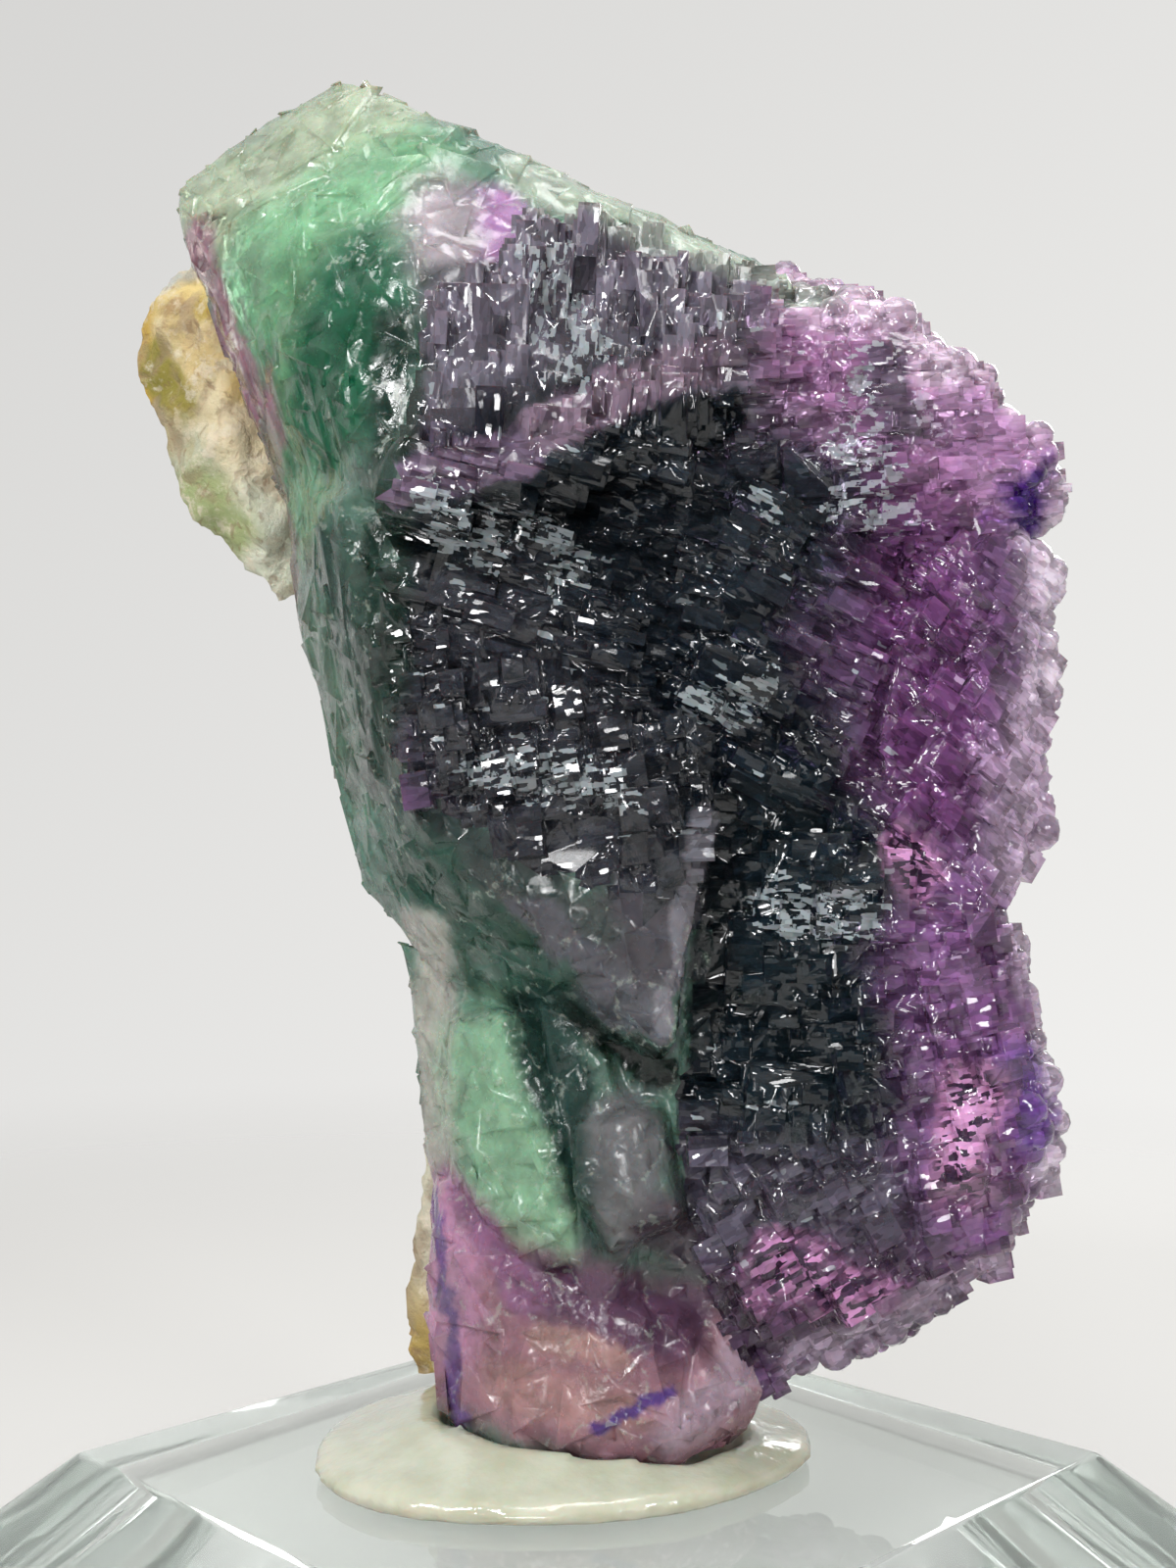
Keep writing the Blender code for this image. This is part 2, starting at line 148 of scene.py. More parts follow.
# %% Mesh helpers
def merged_copy(node_name):
    """A bmesh copy of a node of the frame with its loose triangles joined."""
    bm = bmesh.new()
    bm.from_mesh(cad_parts[node_name].data)
    bmesh.ops.remove_doubles(bm, verts=bm.verts, dist=0.001 * MM)
    return bm


def object_of(name, bm, material=None):
    mesh = bpy.data.meshes.new(name)
    bm.to_mesh(mesh)
    bm.free()
    if material:
        mesh.materials.append(material)
    obj = bpy.data.objects.new(name, mesh)
    bpy.context.scene.collection.objects.link(obj)
    return obj


def settle(obj):
    """Replaces the object's mesh by what its modifiers make of it, and removes them."""
    mesh = bpy.data.meshes.new_from_object(obj.evaluated_get(bpy.context.evaluated_depsgraph_get()))
    obj.modifiers.clear()
    obj.data = mesh


def finish_piece(obj, node_name, sharp_degrees):
    """Shades the piece, and ties it to the frame in place of its node."""
    obj.data.shade_smooth()
    obj.data.set_sharp_from_angle(angle=math.radians(sharp_degrees))
    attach(obj, "root")
    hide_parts(node_name)
    print(obj.name, len(obj.data.polygons), "faces")


# %% [markdown]
# ## Camera
# The camera stands close, at the height of the specimen's middle, and looks up by about a degree.
# A moderate lens that near gives the stand its strong perspective.

# %% Camera
EYE = Vector((0, -123, 63.4)) * MM
LOOK_UP = 1.34
LENS, SENSOR_WIDTH = 40.41, 36
NEAREST_SEEN = 5
camera = bpy.data.objects.new("camera", bpy.data.cameras.new("camera"))
bpy.context.scene.collection.objects.link(camera)
camera.data.lens = LENS
camera.data.sensor_width = SENSOR_WIDTH
camera.data.clip_start = NEAREST_SEEN * MM
camera.location = EYE
camera.rotation_euler = (math.radians(90 + LOOK_UP), 0, 0)
bpy.context.scene.camera = camera
print("camera at", camera.location[:])

# %% [markdown]
# ## Floor, backdrop and light
# A sheet of paper could be modelled as a wall that curves up, but then each view needs its own. Here the
# world itself is the pale backdrop, and the floor is a disc that fades out into it, so that every side
# looks the same. Little of the lamps' light gets through the glass block to the floor below it, so light is
# painted there: the floor is painted whiter under the block. Glass and crystal only look like themselves when
# there is something to mirror, so what the facets see is not that even grey: it is bright overhead and dim in
# front, like a studio with a light ceiling. Light Path parts the two: camera rays and rays that come through
# the crystal get the plain backdrop.
# Light that is caught in a glass block is mirrored many times before it leaves, so the scene allows more
# bounces than Blender's own settings. With too few, the stand's bevels turn black.

# %% Floor
FLOOR_SOLID, FLOOR_END = 120.0, 330.0
FLOOR_DROP = 0.2
PAINTED_LIGHT_UNDER_STAND = 43.0  # half the diagonal of the whiter square
UNDER_STAND_BLUR = 1.0


def make_floor():
    """A pale disc that fades out into the backdrop."""
    bm = bmesh.new()
    bmesh.ops.create_circle(bm, cap_ends=True, segments=96, radius=FLOOR_END * MM)
    bmesh.ops.translate(bm, verts=bm.verts, vec=(0, 0, -FLOOR_DROP * MM))
    material, tree, shader, position = new_material("pale_paper")
    shader.inputs["Roughness"].default_value = 0.6
    parts = add(tree, "ShaderNodeSeparateXYZ", {0: position}).outputs
    reach = maths(tree, "ADD", maths(tree, "ABSOLUTE", parts["X"]), maths(tree, "ABSOLUTE", parts["Y"]))
    # Painted light: the floor under the glass block is painted whiter, for the lamp light that the block
    # keeps from it.
    under = smooth_range(tree, reach, PAINTED_LIGHT_UNDER_STAND, PAINTED_LIGHT_UNDER_STAND - UNDER_STAND_BLUR)
    tree.links.new(blend_colours(tree, under, srgb("c6c5c3"), srgb("fbfbf9")), shader.inputs["Base Color"])
    fade = smooth_range(tree, length_of(tree, position), FLOOR_SOLID, FLOOR_END, 1.0, 0.0)
    tree.links.new(fade, shader.inputs["Alpha"])
    object_of("floor", bm, material)


make_floor()
print("floor fades from", FLOOR_SOLID, "to", FLOOR_END, "mm")

# %% Backdrop and lamps
BACKDROP_BASE = 0.8
BACKDROP_SLOPE = (0.16, 0.0, -0.18)
BACKDROP_TINT = (1.0, 0.993, 0.975, 1.0)
STUDIO_BASE = 0.4
STUDIO_SLOPE = (-0.14, 0.34, 0.5)
STUDIO_DARKEST = 0.05
BOUNCES = {"max_bounces": 20, "glossy_bounces": 16, "transmission_bounces": 16}
LAMP_AIM = Vector((0, 0, 65)) * MM
LAMPS = [
    # name, place, size, watts
    ("key", (-120, -210, 250), (60, 50), 0.62),
    ("fill", (200, -220, 150), (40, 70), 0.26),
    ("low front", (-30, -300, 70), (60, 30), 0.26),
    ("top", (30, -30, 330), (110, 110), 0.3),
    ("back", (140, 260, 200), (90, 90), 0.32),
]


def make_world():
    """A plain backdrop for the eye, and a studio with a bright ceiling for the facets."""
    world = bpy.data.worlds.new("studio")
    world.use_nodes = True
    tree = world.node_tree
    direction = add(tree, "ShaderNodeTexCoord").outputs["Generated"]
    studio = maths(tree, "ADD", dot(tree, direction, STUDIO_SLOPE), STUDIO_BASE)
    studio = maths(tree, "MAXIMUM", studio, STUDIO_DARKEST)
    backdrop = maths(tree, "ADD", dot(tree, direction, BACKDROP_SLOPE), BACKDROP_BASE)
    path = add(tree, "ShaderNodeLightPath").outputs
    seen = maths(tree, "MAXIMUM", path["Is Camera Ray"], path["Is Transmission Ray"])
    level = blend_colours(tree, seen, studio, backdrop)
    background = tree.nodes["Background"]
    tree.links.new(blend_colours(tree, 1.0, level, BACKDROP_TINT, "MULTIPLY"), background.inputs["Color"])
    return world


def add_lamp(name, place, size, watts):
    """A rectangular lamp that points at the specimen."""
    lamp = bpy.data.lights.new(name, "AREA")
    lamp.shape = "RECTANGLE"
    lamp.size, lamp.size_y = size[0] * MM, size[1] * MM
    lamp.energy = watts
    obj = bpy.data.objects.new(name, lamp)
    obj.location = Vector(place) * MM
    obj.rotation_euler = (LAMP_AIM - obj.location).to_track_quat("-Z", "Y").to_euler()
    bpy.context.scene.collection.objects.link(obj)


bpy.context.scene.world = make_world()
bpy.context.scene.view_settings.view_transform = "Standard"
for name, count in BOUNCES.items():
    setattr(bpy.context.scene.cycles, name, count)
for lamp in LAMPS:
    add_lamp(*lamp)
print(len(LAMPS), "lamps")

# %% [markdown]
# ## The fluorite: where it broke and where it grew
# The left flank, the tip and the foot were cleaved when the specimen was collected. The rest kept its growth
# skin of small cubes, which lie parallel within each growth domain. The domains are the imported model's own.
# Faces are told apart by where they are: left of the cleaved edge and above the ridge, nothing grew.

# %% Growth domains
class Domain(NamedTuple):
    """A part of the surface whose small cubes all lie parallel."""

    middle: tuple  # x and z
    turn: float  # degrees, in the face
    side_lean: float
    back_lean: float
    stretch: tuple  # each cube's width, depth and height, as shares of its size
    cover: float  # how densely small cubes cover the surface


DOMAINS = {
    "upper": Domain((-1, 96), 4, -6, 12, (0.8, 1.0, 1.9), 0.9),
    "middle": Domain((1, 79), 14, 4, -4, (1.6, 1.0, 0.7), 1.0),
    "middle_right": Domain((13, 75), 26, 6, 0, (1.5, 1.0, 0.7), 1.0),
    "wedge": Domain((-3, 66), -8, -8, -6, (0.9, 1.0, 1.2), 1.0),
    "dome": Domain((19, 91), -4, 7, 6, (1.4, 1.0, 0.8), 1.0),
    "right": Domain((27, 71), 34, 20, 2, (1.1, 1.0, 1.0), 1.0),
    "lower_dark": Domain((13, 54), 1, 3, -2, (1.3, 1.0, 1.0), 0.4),
    "lower_right": Domain((25, 45), -9, 16, -4, (1.0, 1.0, 1.1), 1.0),
    "bottom": Domain((15, 33), -26, 4, -18, (1.0, 1.0, 1.0), 1.0),
}
# The border of the cleaved side: for each height z, its x.
CLEAVED_EDGE = [
    (22, 14), (30, 9), (38, 6.5), (47, 6), (49, 7.6), (57, 8.4), (61, -4), (66, -11), (73, -13.5),
    (90, -11), (96, -10), (100, -5), (108, -2.5), (116, 0),
]
# The lower border of the cleaved ridge: for each x, its height z.
RIDGE_EDGE = [(-11, 105.8), (3, 102.6), (14, 99.4)]
BACK_CUBES_FROM = 15.0
FACING_BACK = 0.5


def on_line(line, value):
    return float(np.interp(value, [p[0] for p in line], [p[1] for p in line]))


def domain_at(middle):
    """The growth domain whose middle is nearest, seen from the front."""
    return min(DOMAINS.values(), key=lambda d: math.dist(d.middle, (middle.x, middle.z)))


def lattice_of(domain):
    """The rotation that all of a domain's cubes share."""
    return (
        Matrix.Rotation(math.radians(domain.side_lean), 3, "Z")
        @ Matrix.Rotation(math.radians(domain.back_lean), 3, "X")
        @ Matrix.Rotation(math.radians(domain.turn), 3, "Y")
    )


def is_cleaved(middle, normal):
    """Whether a spot is on the broken side, on the ridge or on the back."""
    on_ridge = middle.x < RIDGE_EDGE[-1][0] and middle.z > on_line(RIDGE_EDGE, middle.x)
    on_back = normal.y > FACING_BACK and middle.x < BACK_CUBES_FROM
    return on_ridge or on_back or middle.x < on_line(CLEAVED_EDGE, middle.z)


print(len(DOMAINS), "growth domains")

# %% [markdown]
# ## Soften the cleaved side and the rim
# A cleaved face is flat only in the large. To let it undulate, its big triangles are first sliced by evenly
# spaced planes, which keeps the mesh closed where a free-hand subdivision might not. Then its points are
# relaxed and moved along their normals by fractal noise. Along the thin clear rim the real cubes end in
# smooth bumps, so there relaxing alone draws the corners in.

# %% Slice, relax and move
SLICE, SLICE_START = 2.1, 0.37
RELAX_ROUNDS, RELAX_SHARE = 3, 0.4
SWELL, SWELL_SCALE = 0.34, 0.16
RIM_FROM = 28.0  # x of the right edge
RIM_ENDS_FROM, RIM_BOTTOM, RIM_TOP = 14.0, 31.5, 94.0  # x and z of the underside and the dome's top
RIM_ROUNDS, RIM_SHARE = 2, 0.3


def cleaved_faces(bm):
    return [f for f in bm.faces if is_cleaved(f.calc_center_median() / MM, f.normal)]


def reaches_cleaved(face):
    return any(is_cleaved(v.co / MM, face.normal) for v in face.verts)


def crosses(face, axis, level):
    """Whether the plane across an axis cuts the face."""
    reach = [v.co[axis] for v in face.verts]
    return min(reach) < level < max(reach)


def relax(points, share):
    """Draws each point towards the middle of its neighbours."""
    moved = []
    for v in points:
        around = [e.other_vert(v).co for e in v.link_edges]
        moved.append((v, sum(around, Vector()) / len(around)))
    for v, middle in moved:
        v.co = v.co.lerp(middle, share)


def slice_faces(bm):
    """Cuts the faces that are cleaved, or partly so, along planes across x, y and z."""
    for axis in range(3):
        low, high = cad_low[axis] / MM, cad_high[axis] / MM
        for i in range(1, int((high - low) / SLICE)):
            level = (low + i * SLICE + SLICE_START) * MM
            faces = [f for f in bm.faces if crosses(f, axis, level) and reaches_cleaved(f)]
            geometry = list({e for f in faces for e in f.edges} | {v for f in faces for v in f.verts}) + faces
            spot, way = Vector(), Vector()
            spot[axis], way[axis] = level, 1
            bmesh.ops.bisect_plane(bm, geom=geometry, dist=0.002 * MM, plane_co=spot, plane_no=way)
    bmesh.ops.triangulate(bm, faces=[f for f in bm.faces if len(f.verts) > 3])


def soften_faces(bm):
    """Relaxes the points that lie only on cleaved faces, and moves them by noise."""
    bm.normal_update()
    cleaved = set(cleaved_faces(bm))
    inner = [v for v in bm.verts if all(f in cleaved for f in v.link_faces)]
    for _ in range(RELAX_ROUNDS):
        relax(inner, RELAX_SHARE)
    bm.normal_update()
    for v in inner:
        v.co += v.normal * noise.fractal(v.co / MM * SWELL_SCALE, 0.8, 2.1, 4) * SWELL * MM


def on_rim(middle):
    """Whether a spot lies on the thin clear rim: the right edge, the dome's top or the underside."""
    return middle.x > RIM_FROM or (middle.x > RIM_ENDS_FROM and not RIM_BOTTOM < middle.z < RIM_TOP)


def round_rim(bm):
    """Draws the corners of the rim's cubes in."""
    for _ in range(RIM_ROUNDS):
        relax([v for v in bm.verts if on_rim(v.co / MM)], RIM_SHARE)


bm = merged_copy("fluorite_crystals")
bm.normal_update()
slice_faces(bm)
soften_faces(bm)
round_rim(bm)
print(len(bm.faces), "faces,", sum(not e.is_manifold for e in bm.edges), "open edges")
fluorite = object_of("fluorite", bm)

# %% [markdown]
# ## The growth skin
# Small cubes could be modelled one by one, but there are thousands. A Geometry Nodes tree scatters three
# shapes over the crystal: cubes on the grown faces, turned as their growth domain is, rounded bumps along
# the rim, and thin three-sided chips on the cleaved faces, no larger than the distance to the nearest sharp
# edge, so that none juts out. One Boolean union then welds all to the crystal: what remains is a single
# closed skin with crisp steps.
# Face attributes carry what the tree has to know: the lean of the lattice, the stretch of the cubes, their
# cover, and where the rim is. The fifth, grown, stays on the result and tells the two finishes apart.

# %% Face attributes
BARE_SCALE, BARE_FROM, BARE_COVER = 0.11, 0.16, 0.3
RIM_COVER = 0.3


def face_attributes(face):
    """What the growth skin has to know about one face."""
    middle = face.center / MM
    domain = domain_at(middle)
    cleaved = is_cleaved(middle, face.normal)
    rim = on_rim(middle) and not cleaved
    bare = noise.noise(middle * BARE_SCALE) > BARE_FROM
    cover = RIM_COVER if rim else domain.cover * (BARE_COVER if bare else 1.0)
    return {
        "lean": lattice_of(domain).to_euler(),
        "stretch": domain.stretch,
        "cover": [0.0 if cleaved else cover],
        "rim": [float(rim)],
        "grown": [float(not cleaved)],
    }


rows = [face_attributes(face) for face in fluorite.data.polygons]
for name, first in rows[0].items():
    kind, field = ("FLOAT_VECTOR", "vector") if len(first) == 3 else ("FLOAT", "value")
    values = [value for row in rows for value in row[name]]
    fluorite.data.attributes.new(name, kind, "FACE").data.foreach_set(field, values)
print(int(sum(row["grown"][0] for row in rows)), "grown faces of", len(rows))


# %% Geometry node helpers
DENSEST = 4e6  # points on a square metre, before their spacing thins them out


def named(tree, name, kind="FLOAT"):
    """The value of a face attribute."""
    return add(tree, "GeometryNodeInputNamedAttribute", {"Name": name}, data_type=kind).outputs["Attribute"]


def random_between(tree, seed, low, high):
    node = add(tree, "FunctionNodeRandomValue", {"Seed": seed})
    for socket, value in zip(node.inputs[2:4], (low, high)):
        fill(tree, socket, value)
    return node.outputs[1]


def exceeds(tree, a, b):
    return add(tree, "FunctionNodeCompare", {0: a, 1: b}, operation="GREATER_THAN").outputs[0]


def rotation_of(tree, euler):
    return add(tree, "FunctionNodeEulerToRotation", {"Euler": euler}).outputs[0]


def random_turn(tree, seed, spread):
    """A random rotation, up to spread about each axis."""
    node = add(tree, "FunctionNodeRandomValue", {"Seed": seed}, data_type="FLOAT_VECTOR")
    node.inputs[0].default_value, node.inputs[1].default_value = (-1, -1, -1), (1, 1, 1)
    return rotation_of(tree, scaled(tree, node.outputs[0], spread))


def turned_by(tree, rotation, by):
    inputs = {"Rotation": rotation, "Rotate By": by}
    return add(tree, "FunctionNodeRotateRotation", inputs, rotation_space="LOCAL").outputs[0]


def spread_points(tree, crystal, density, spacing, seed):
    """Points on the crystal's faces, none nearer to another than the spacing."""
    inputs = {"Mesh": crystal, "Distance Min": spacing, "Density Max": DENSEST}
    inputs |= {"Density Factor": density, "Seed": seed}
    return add(tree, "GeometryNodeDistributePointsOnFaces", inputs, distribute_method="POISSON").outputs


def random_size(tree, seed, smallest, largest, rarity):
    """A size between two, the larger ones rarer."""
    share = maths(tree, "POWER", random_between(tree, seed, 0.0, 1.0), rarity)
    return maths(tree, "MULTIPLY_ADD", share, maths(tree, "SUBTRACT", largest, smallest), smallest)


def marked(tree, mesh, value):
    """The mesh with the attribute that tells grown faces from cleaved ones."""
    inputs = {"Geometry": mesh, "Name": "grown", "Value": value}
    return add(tree, "GeometryNodeStoreNamedAttribute", inputs, domain="FACE").outputs[0]


def placed_on(tree, spread, sink, shape, turned, scale):
    """The shape at each point, moved along the face's normal by sink."""
    inputs = {"Geometry": spread["Points"], "Offset": scaled(tree, spread["Normal"], sink)}
    points = add(tree, "GeometryNodeSetPosition", inputs).outputs[0]
    inputs = {"Points": points, "Instance": shape, "Rotation": turned, "Scale": scale}
    return add(tree, "GeometryNodeInstanceOnPoints", inputs).outputs[0]


# %% Cubes, bumps and chips
# The tree's inputs and their values: lengths in metres, wobbles in radians.
SKIN_INPUTS = [
    ("Smallest cube", 0.75 * MM),
    ("Largest cube", 2.0 * MM),
    ("Cube spacing", 0.75 * MM),
    ("Cube wobble", 0.05),
    ("Smallest bump", 1.0 * MM),
    ("Largest bump", 3.0 * MM),
    ("Bump spacing", 1.25 * MM),
    ("Smallest chip", 0.9 * MM),
    ("Largest chip", 4.2 * MM),
    ("Chip spacing", 1.7 * MM),
    ("Chip wobble", 0.05),
    ("Edge room", 0.45 * MM),
]
BALL = {"Radius": 0.5, "Subdivisions": 2}
CHIP = {"Vertices": 3, "Radius Top": 0.8, "Radius Bottom": 1.0, "Depth": 0.5}
CHIP_FLATNESS = 0.45
ANY_WAY = 3.0  # nearly half a turn about each axis
SHARP_EDGE = math.radians(24)


def cubes_on(tree, given):
    """Cubes on the grown faces, turned with their growth domain and partly sunk."""
    spread = spread_points(tree, given["Crystal"], named(tree, "cover"), given["Cube spacing"], 5)
    lean = rotation_of(tree, named(tree, "lean", "FLOAT_VECTOR"))
    turned = turned_by(tree, lean, random_turn(tree, 11, given["Cube wobble"]))
    side = random_size(tree, 12, given["Smallest cube"], given["Largest cube"], 3.0)
    sink = maths(tree, "MULTIPLY", side, random_between(tree, 13, -0.44, -0.16))
    cube = marked(tree, add(tree, "GeometryNodeMeshCube", {"Size": (1, 1, 1)}).outputs["Mesh"], 1.0)
    scale = scaled(tree, named(tree, "stretch", "FLOAT_VECTOR"), side)
    return placed_on(tree, spread, sink, cube, turned, scale)


def bumps_on(tree, given):
    """Rounded bumps along the rim."""
    spread = spread_points(tree, given["Crystal"], named(tree, "rim"), given["Bump spacing"], 7)
    side = random_size(tree, 31, given["Smallest bump"], given["Largest bump"], 2.0)
    ball = marked(tree, add(tree, "GeometryNodeMeshIcoSphere", BALL).outputs["Mesh"], 1.0)
    long = maths(tree, "MULTIPLY", side, random_between(tree, 32, 0.75, 1.2))
    scale = add(tree, "ShaderNodeCombineXYZ", {"X": side, "Y": long, "Z": side}).outputs[0]
    sink = maths(tree, "MULTIPLY", side, random_between(tree, 33, -0.26, -0.1))
    return placed_on(tree, spread, sink, ball, random_turn(tree, 34, ANY_WAY), scale)


def distance_to_sharp_edge(tree, crystal):
    """How far each point is from the nearest sharp edge of the crystal."""
    angle = add(tree, "GeometryNodeInputMeshEdgeAngle").outputs[0]
    inputs = {"Geometry": crystal, "Selection": exceeds(tree, angle, SHARP_EDGE)}
    edges = add(tree, "GeometryNodeSeparateGeometry", inputs, domain="EDGE").outputs[0]
    return add(tree, "GeometryNodeProximity", {0: edges}, target_element="EDGES").outputs["Distance"]


def chips_on(tree, given):
    """Thin three-sided chips that lie on the cleaved faces."""
    broken = maths(tree, "SUBTRACT", 1.0, named(tree, "grown"))
    spread = spread_points(tree, given["Crystal"], broken, given["Chip spacing"], 6)
    spin = add(tree, "ShaderNodeCombineXYZ", {"Z": random_between(tree, 21, 0.0, math.tau)}).outputs[0]
    turned = turned_by(tree, spread["Rotation"], random_turn(tree, 22, given["Chip wobble"]))
    turned = turned_by(tree, turned, rotation_of(tree, spin))
    side = random_size(tree, 23, given["Smallest chip"], given["Largest chip"], 2.0)
    room = maths(tree, "ADD", distance_to_sharp_edge(tree, given["Crystal"]), given["Edge room"])
    side = maths(tree, "MINIMUM", side, room)
    chip = marked(tree, add(tree, "GeometryNodeMeshCone", CHIP).outputs["Mesh"], 0.0)
    long = maths(tree, "MULTIPLY", side, random_between(tree, 24, 0.7, 1.3))
    flat = maths(tree, "MULTIPLY", side, CHIP_FLATNESS)
    scale = add(tree, "ShaderNodeCombineXYZ", {"X": side, "Y": long, "Z": flat}).outputs[0]
    sink = maths(tree, "MULTIPLY", side, random_between(tree, 25, -0.215, -0.165))
    return placed_on(tree, spread, sink, chip, turned, scale)


# %% Growth skin tree
def growth_skin_tree():
    """Welds the three shapes to the crystal, and gives each face its finish."""
    tree = bpy.data.node_groups.new("growth skin", "GeometryNodeTree")
    sockets = tree.interface
    sockets.new_socket("Crystal", in_out="INPUT", socket_type="NodeSocketGeometry")
    for name, value in SKIN_INPUTS:
        sockets.new_socket(name, in_out="INPUT", socket_type="NodeSocketFloat").default_value = value
    for name in ("Grown finish", "Cleaved finish"):
        sockets.new_socket(name, in_out="INPUT", socket_type="NodeSocketMaterial")
    sockets.new_socket("Crystal", in_out="OUTPUT", socket_type="NodeSocketGeometry")
    given = add(tree, "NodeGroupInput").outputs
    union = add(tree, "GeometryNodeMeshBoolean", operation="UNION", solver="MANIFOLD")
    for part in (given["Crystal"], cubes_on(tree, given), bumps_on(tree, given), chips_on(tree, given)):
        tree.links.new(part, union.inputs["Mesh 2"])
    real = add(tree, "GeometryNodeRealizeInstances", {"Geometry": union.outputs["Mesh"]}).outputs[0]
    inputs = {"Geometry": real, "Material": given["Cleaved finish"]}
    cleaved = add(tree, "GeometryNodeSetMaterial", inputs).outputs[0]
    grown = exceeds(tree, named(tree, "grown"), 0.5)
    inputs = {"Geometry": cleaved, "Selection": grown, "Material": given["Grown finish"]}
    add(tree, "NodeGroupOutput", {"Crystal": add(tree, "GeometryNodeSetMaterial", inputs).outputs[0]})
    return tree


skin_tree = growth_skin_tree()
print(len(skin_tree.nodes), "nodes in the growth skin")

# %% [markdown]
# ## Soft zones of colour
# Fluorite takes its colour in zones, as the fluid that it grew from changed. A painted map would fix every
# grain; instead one node group makes a soft zone round a line from one spot to another, and each zone lies
# over the ones before it. The zones run through the plate from front to back, so they need only x and z.
# Noise bends the position first, so that no zone has a clean edge. A few zones are not the stone's own colour
# but painted shade in gaps and a painted highlight on an edge. The rock uses the same group.

# %% Zone group
def zone_group():
    """A node group that puts out the mask of one soft zone."""
    tree = bpy.data.node_groups.new("soft zone", "ShaderNodeTree")
    for name in ("Position", "Start", "End"):
        tree.interface.new_socket(name, in_out="INPUT", socket_type="NodeSocketVector")
    for name in ("Radius", "Blur"):
        tree.interface.new_socket(name, in_out="INPUT", socket_type="NodeSocketFloat")
    tree.interface.new_socket("Mask", in_out="OUTPUT", socket_type="NodeSocketFloat")
    given = add(tree, "NodeGroupInput").outputs
    line = vectors(tree, "SUBTRACT", given["End"], given["Start"])
    away = vectors(tree, "SUBTRACT", given["Position"], given["Start"])
    along = maths(tree, "DIVIDE", dot(tree, away, line), dot(tree, line, line), clamp=True)
    distance = length_of(tree, vectors(tree, "SUBTRACT", away, scaled(tree, line, along)))
    outer = maths(tree, "MULTIPLY", given["Radius"], maths(tree, "ADD", 1.0, given["Blur"]))
    inner = maths(tree, "MULTIPLY", given["Radius"], maths(tree, "SUBTRACT", 1.0, given["Blur"]))
    add(tree, "NodeGroupOutput", {"Mask": smooth_range(tree, distance, outer, inner)})
    return tree


ZONE = zone_group()
SHORTEST_LINE = 0.01  # keeps the length of a zone's line from being zero


def bent_position(tree, position, amount, scale, flat=True):
    """The position bent by noise and, where flat, laid down on the x and z plane."""
    inputs = {"Vector": position, "Scale": scale, "Detail": 5.0, "Roughness": 0.6}
    bend = add(tree, "ShaderNodeTexNoise", inputs).outputs["Color"]
    bend = vectors(tree, "SUBTRACT", bend, (0.5, 0.5, 0.5))
    bent = vectors(tree, "ADD", position, scaled(tree, bend, amount))
    return vectors(tree, "MULTIPLY", bent, (1, 0, 1)) if flat else bent


def zone_node(tree, bent, name, start, end, radius, blur):
    """The mask of one soft zone."""
    zone = add(tree, "ShaderNodeGroup", node_tree=ZONE, label=name)
    tree.links.new(bent, zone.inputs["Position"])
    zone.inputs["Start"].default_value = (start[0], 0, start[1])
    zone.inputs["End"].default_value = (end[0], 0, end[1] + SHORTEST_LINE)
    zone.inputs["Radius"].default_value = radius
    zone.inputs["Blur"].default_value = blur
    return zone.outputs["Mask"]


def painted_zones(tree, bent, ground, zones):
    """The ground colour with each soft zone laid over it in turn, and each zone's mask."""
    colour, masks = ground, {}
    for name, start, end, radius, blur, code in zones:
        masks[name] = zone_node(tree, bent, name, start, end, radius, blur)
        colour = blend_colours(tree, masks[name], colour, srgb(code))
    return colour, masks


print("zone group:", len(ZONE.nodes), "nodes")

# %% [markdown]
# ## What the finishes share
# Each finish is one Principled shader: noise gives its grain, a Bump node its fine relief, subsurface light
# its milkiness. A clear stone could have a tinted surface alone, but then thin and thick parts would look the
# same. Absorption in its volume makes the thick parts darker, as in the real crystal.


# %% Finish helpers
def grain(tree, position, scale, detail, roughness=0.5, distortion=0.0):
    """The value of a noise texture."""
    inputs = {"Vector": position, "Scale": scale, "Detail": detail}
    inputs |= {"Roughness": roughness, "Distortion": distortion}
    return add(tree, "ShaderNodeTexNoise", inputs).outputs[0]


def shaded(tree, colour, shade):
    """The colour made darker or lighter."""
    return blend_colours(tree, 1.0, colour, shade, "MULTIPLY")


def emboss(tree, shader, strength, distance, height):
    """Lets the light follow a height over the surface."""
    inputs = {"Strength": strength, "Distance": distance * MM, "Height": height}
    tree.links.new(add(tree, "ShaderNodeBump", inputs).outputs[0], shader.inputs["Normal"])


def scatter_light(shader, weight, depth):
    """Lets light wander under the surface, as in milky stone."""
    shader.inputs["Subsurface Weight"].default_value = weight
    shader.inputs["Subsurface Scale"].default_value = depth * MM


def absorb(material, colour, density):
    """Lets light fade on its way through a clear material."""
    tree = material.node_tree
    volume = add(tree, "ShaderNodeVolumeAbsorption", {"Color": (*colour, 1), "Density": density})
    tree.links.new(volume.outputs[0], tree.nodes["Material Output"].inputs["Volume"])
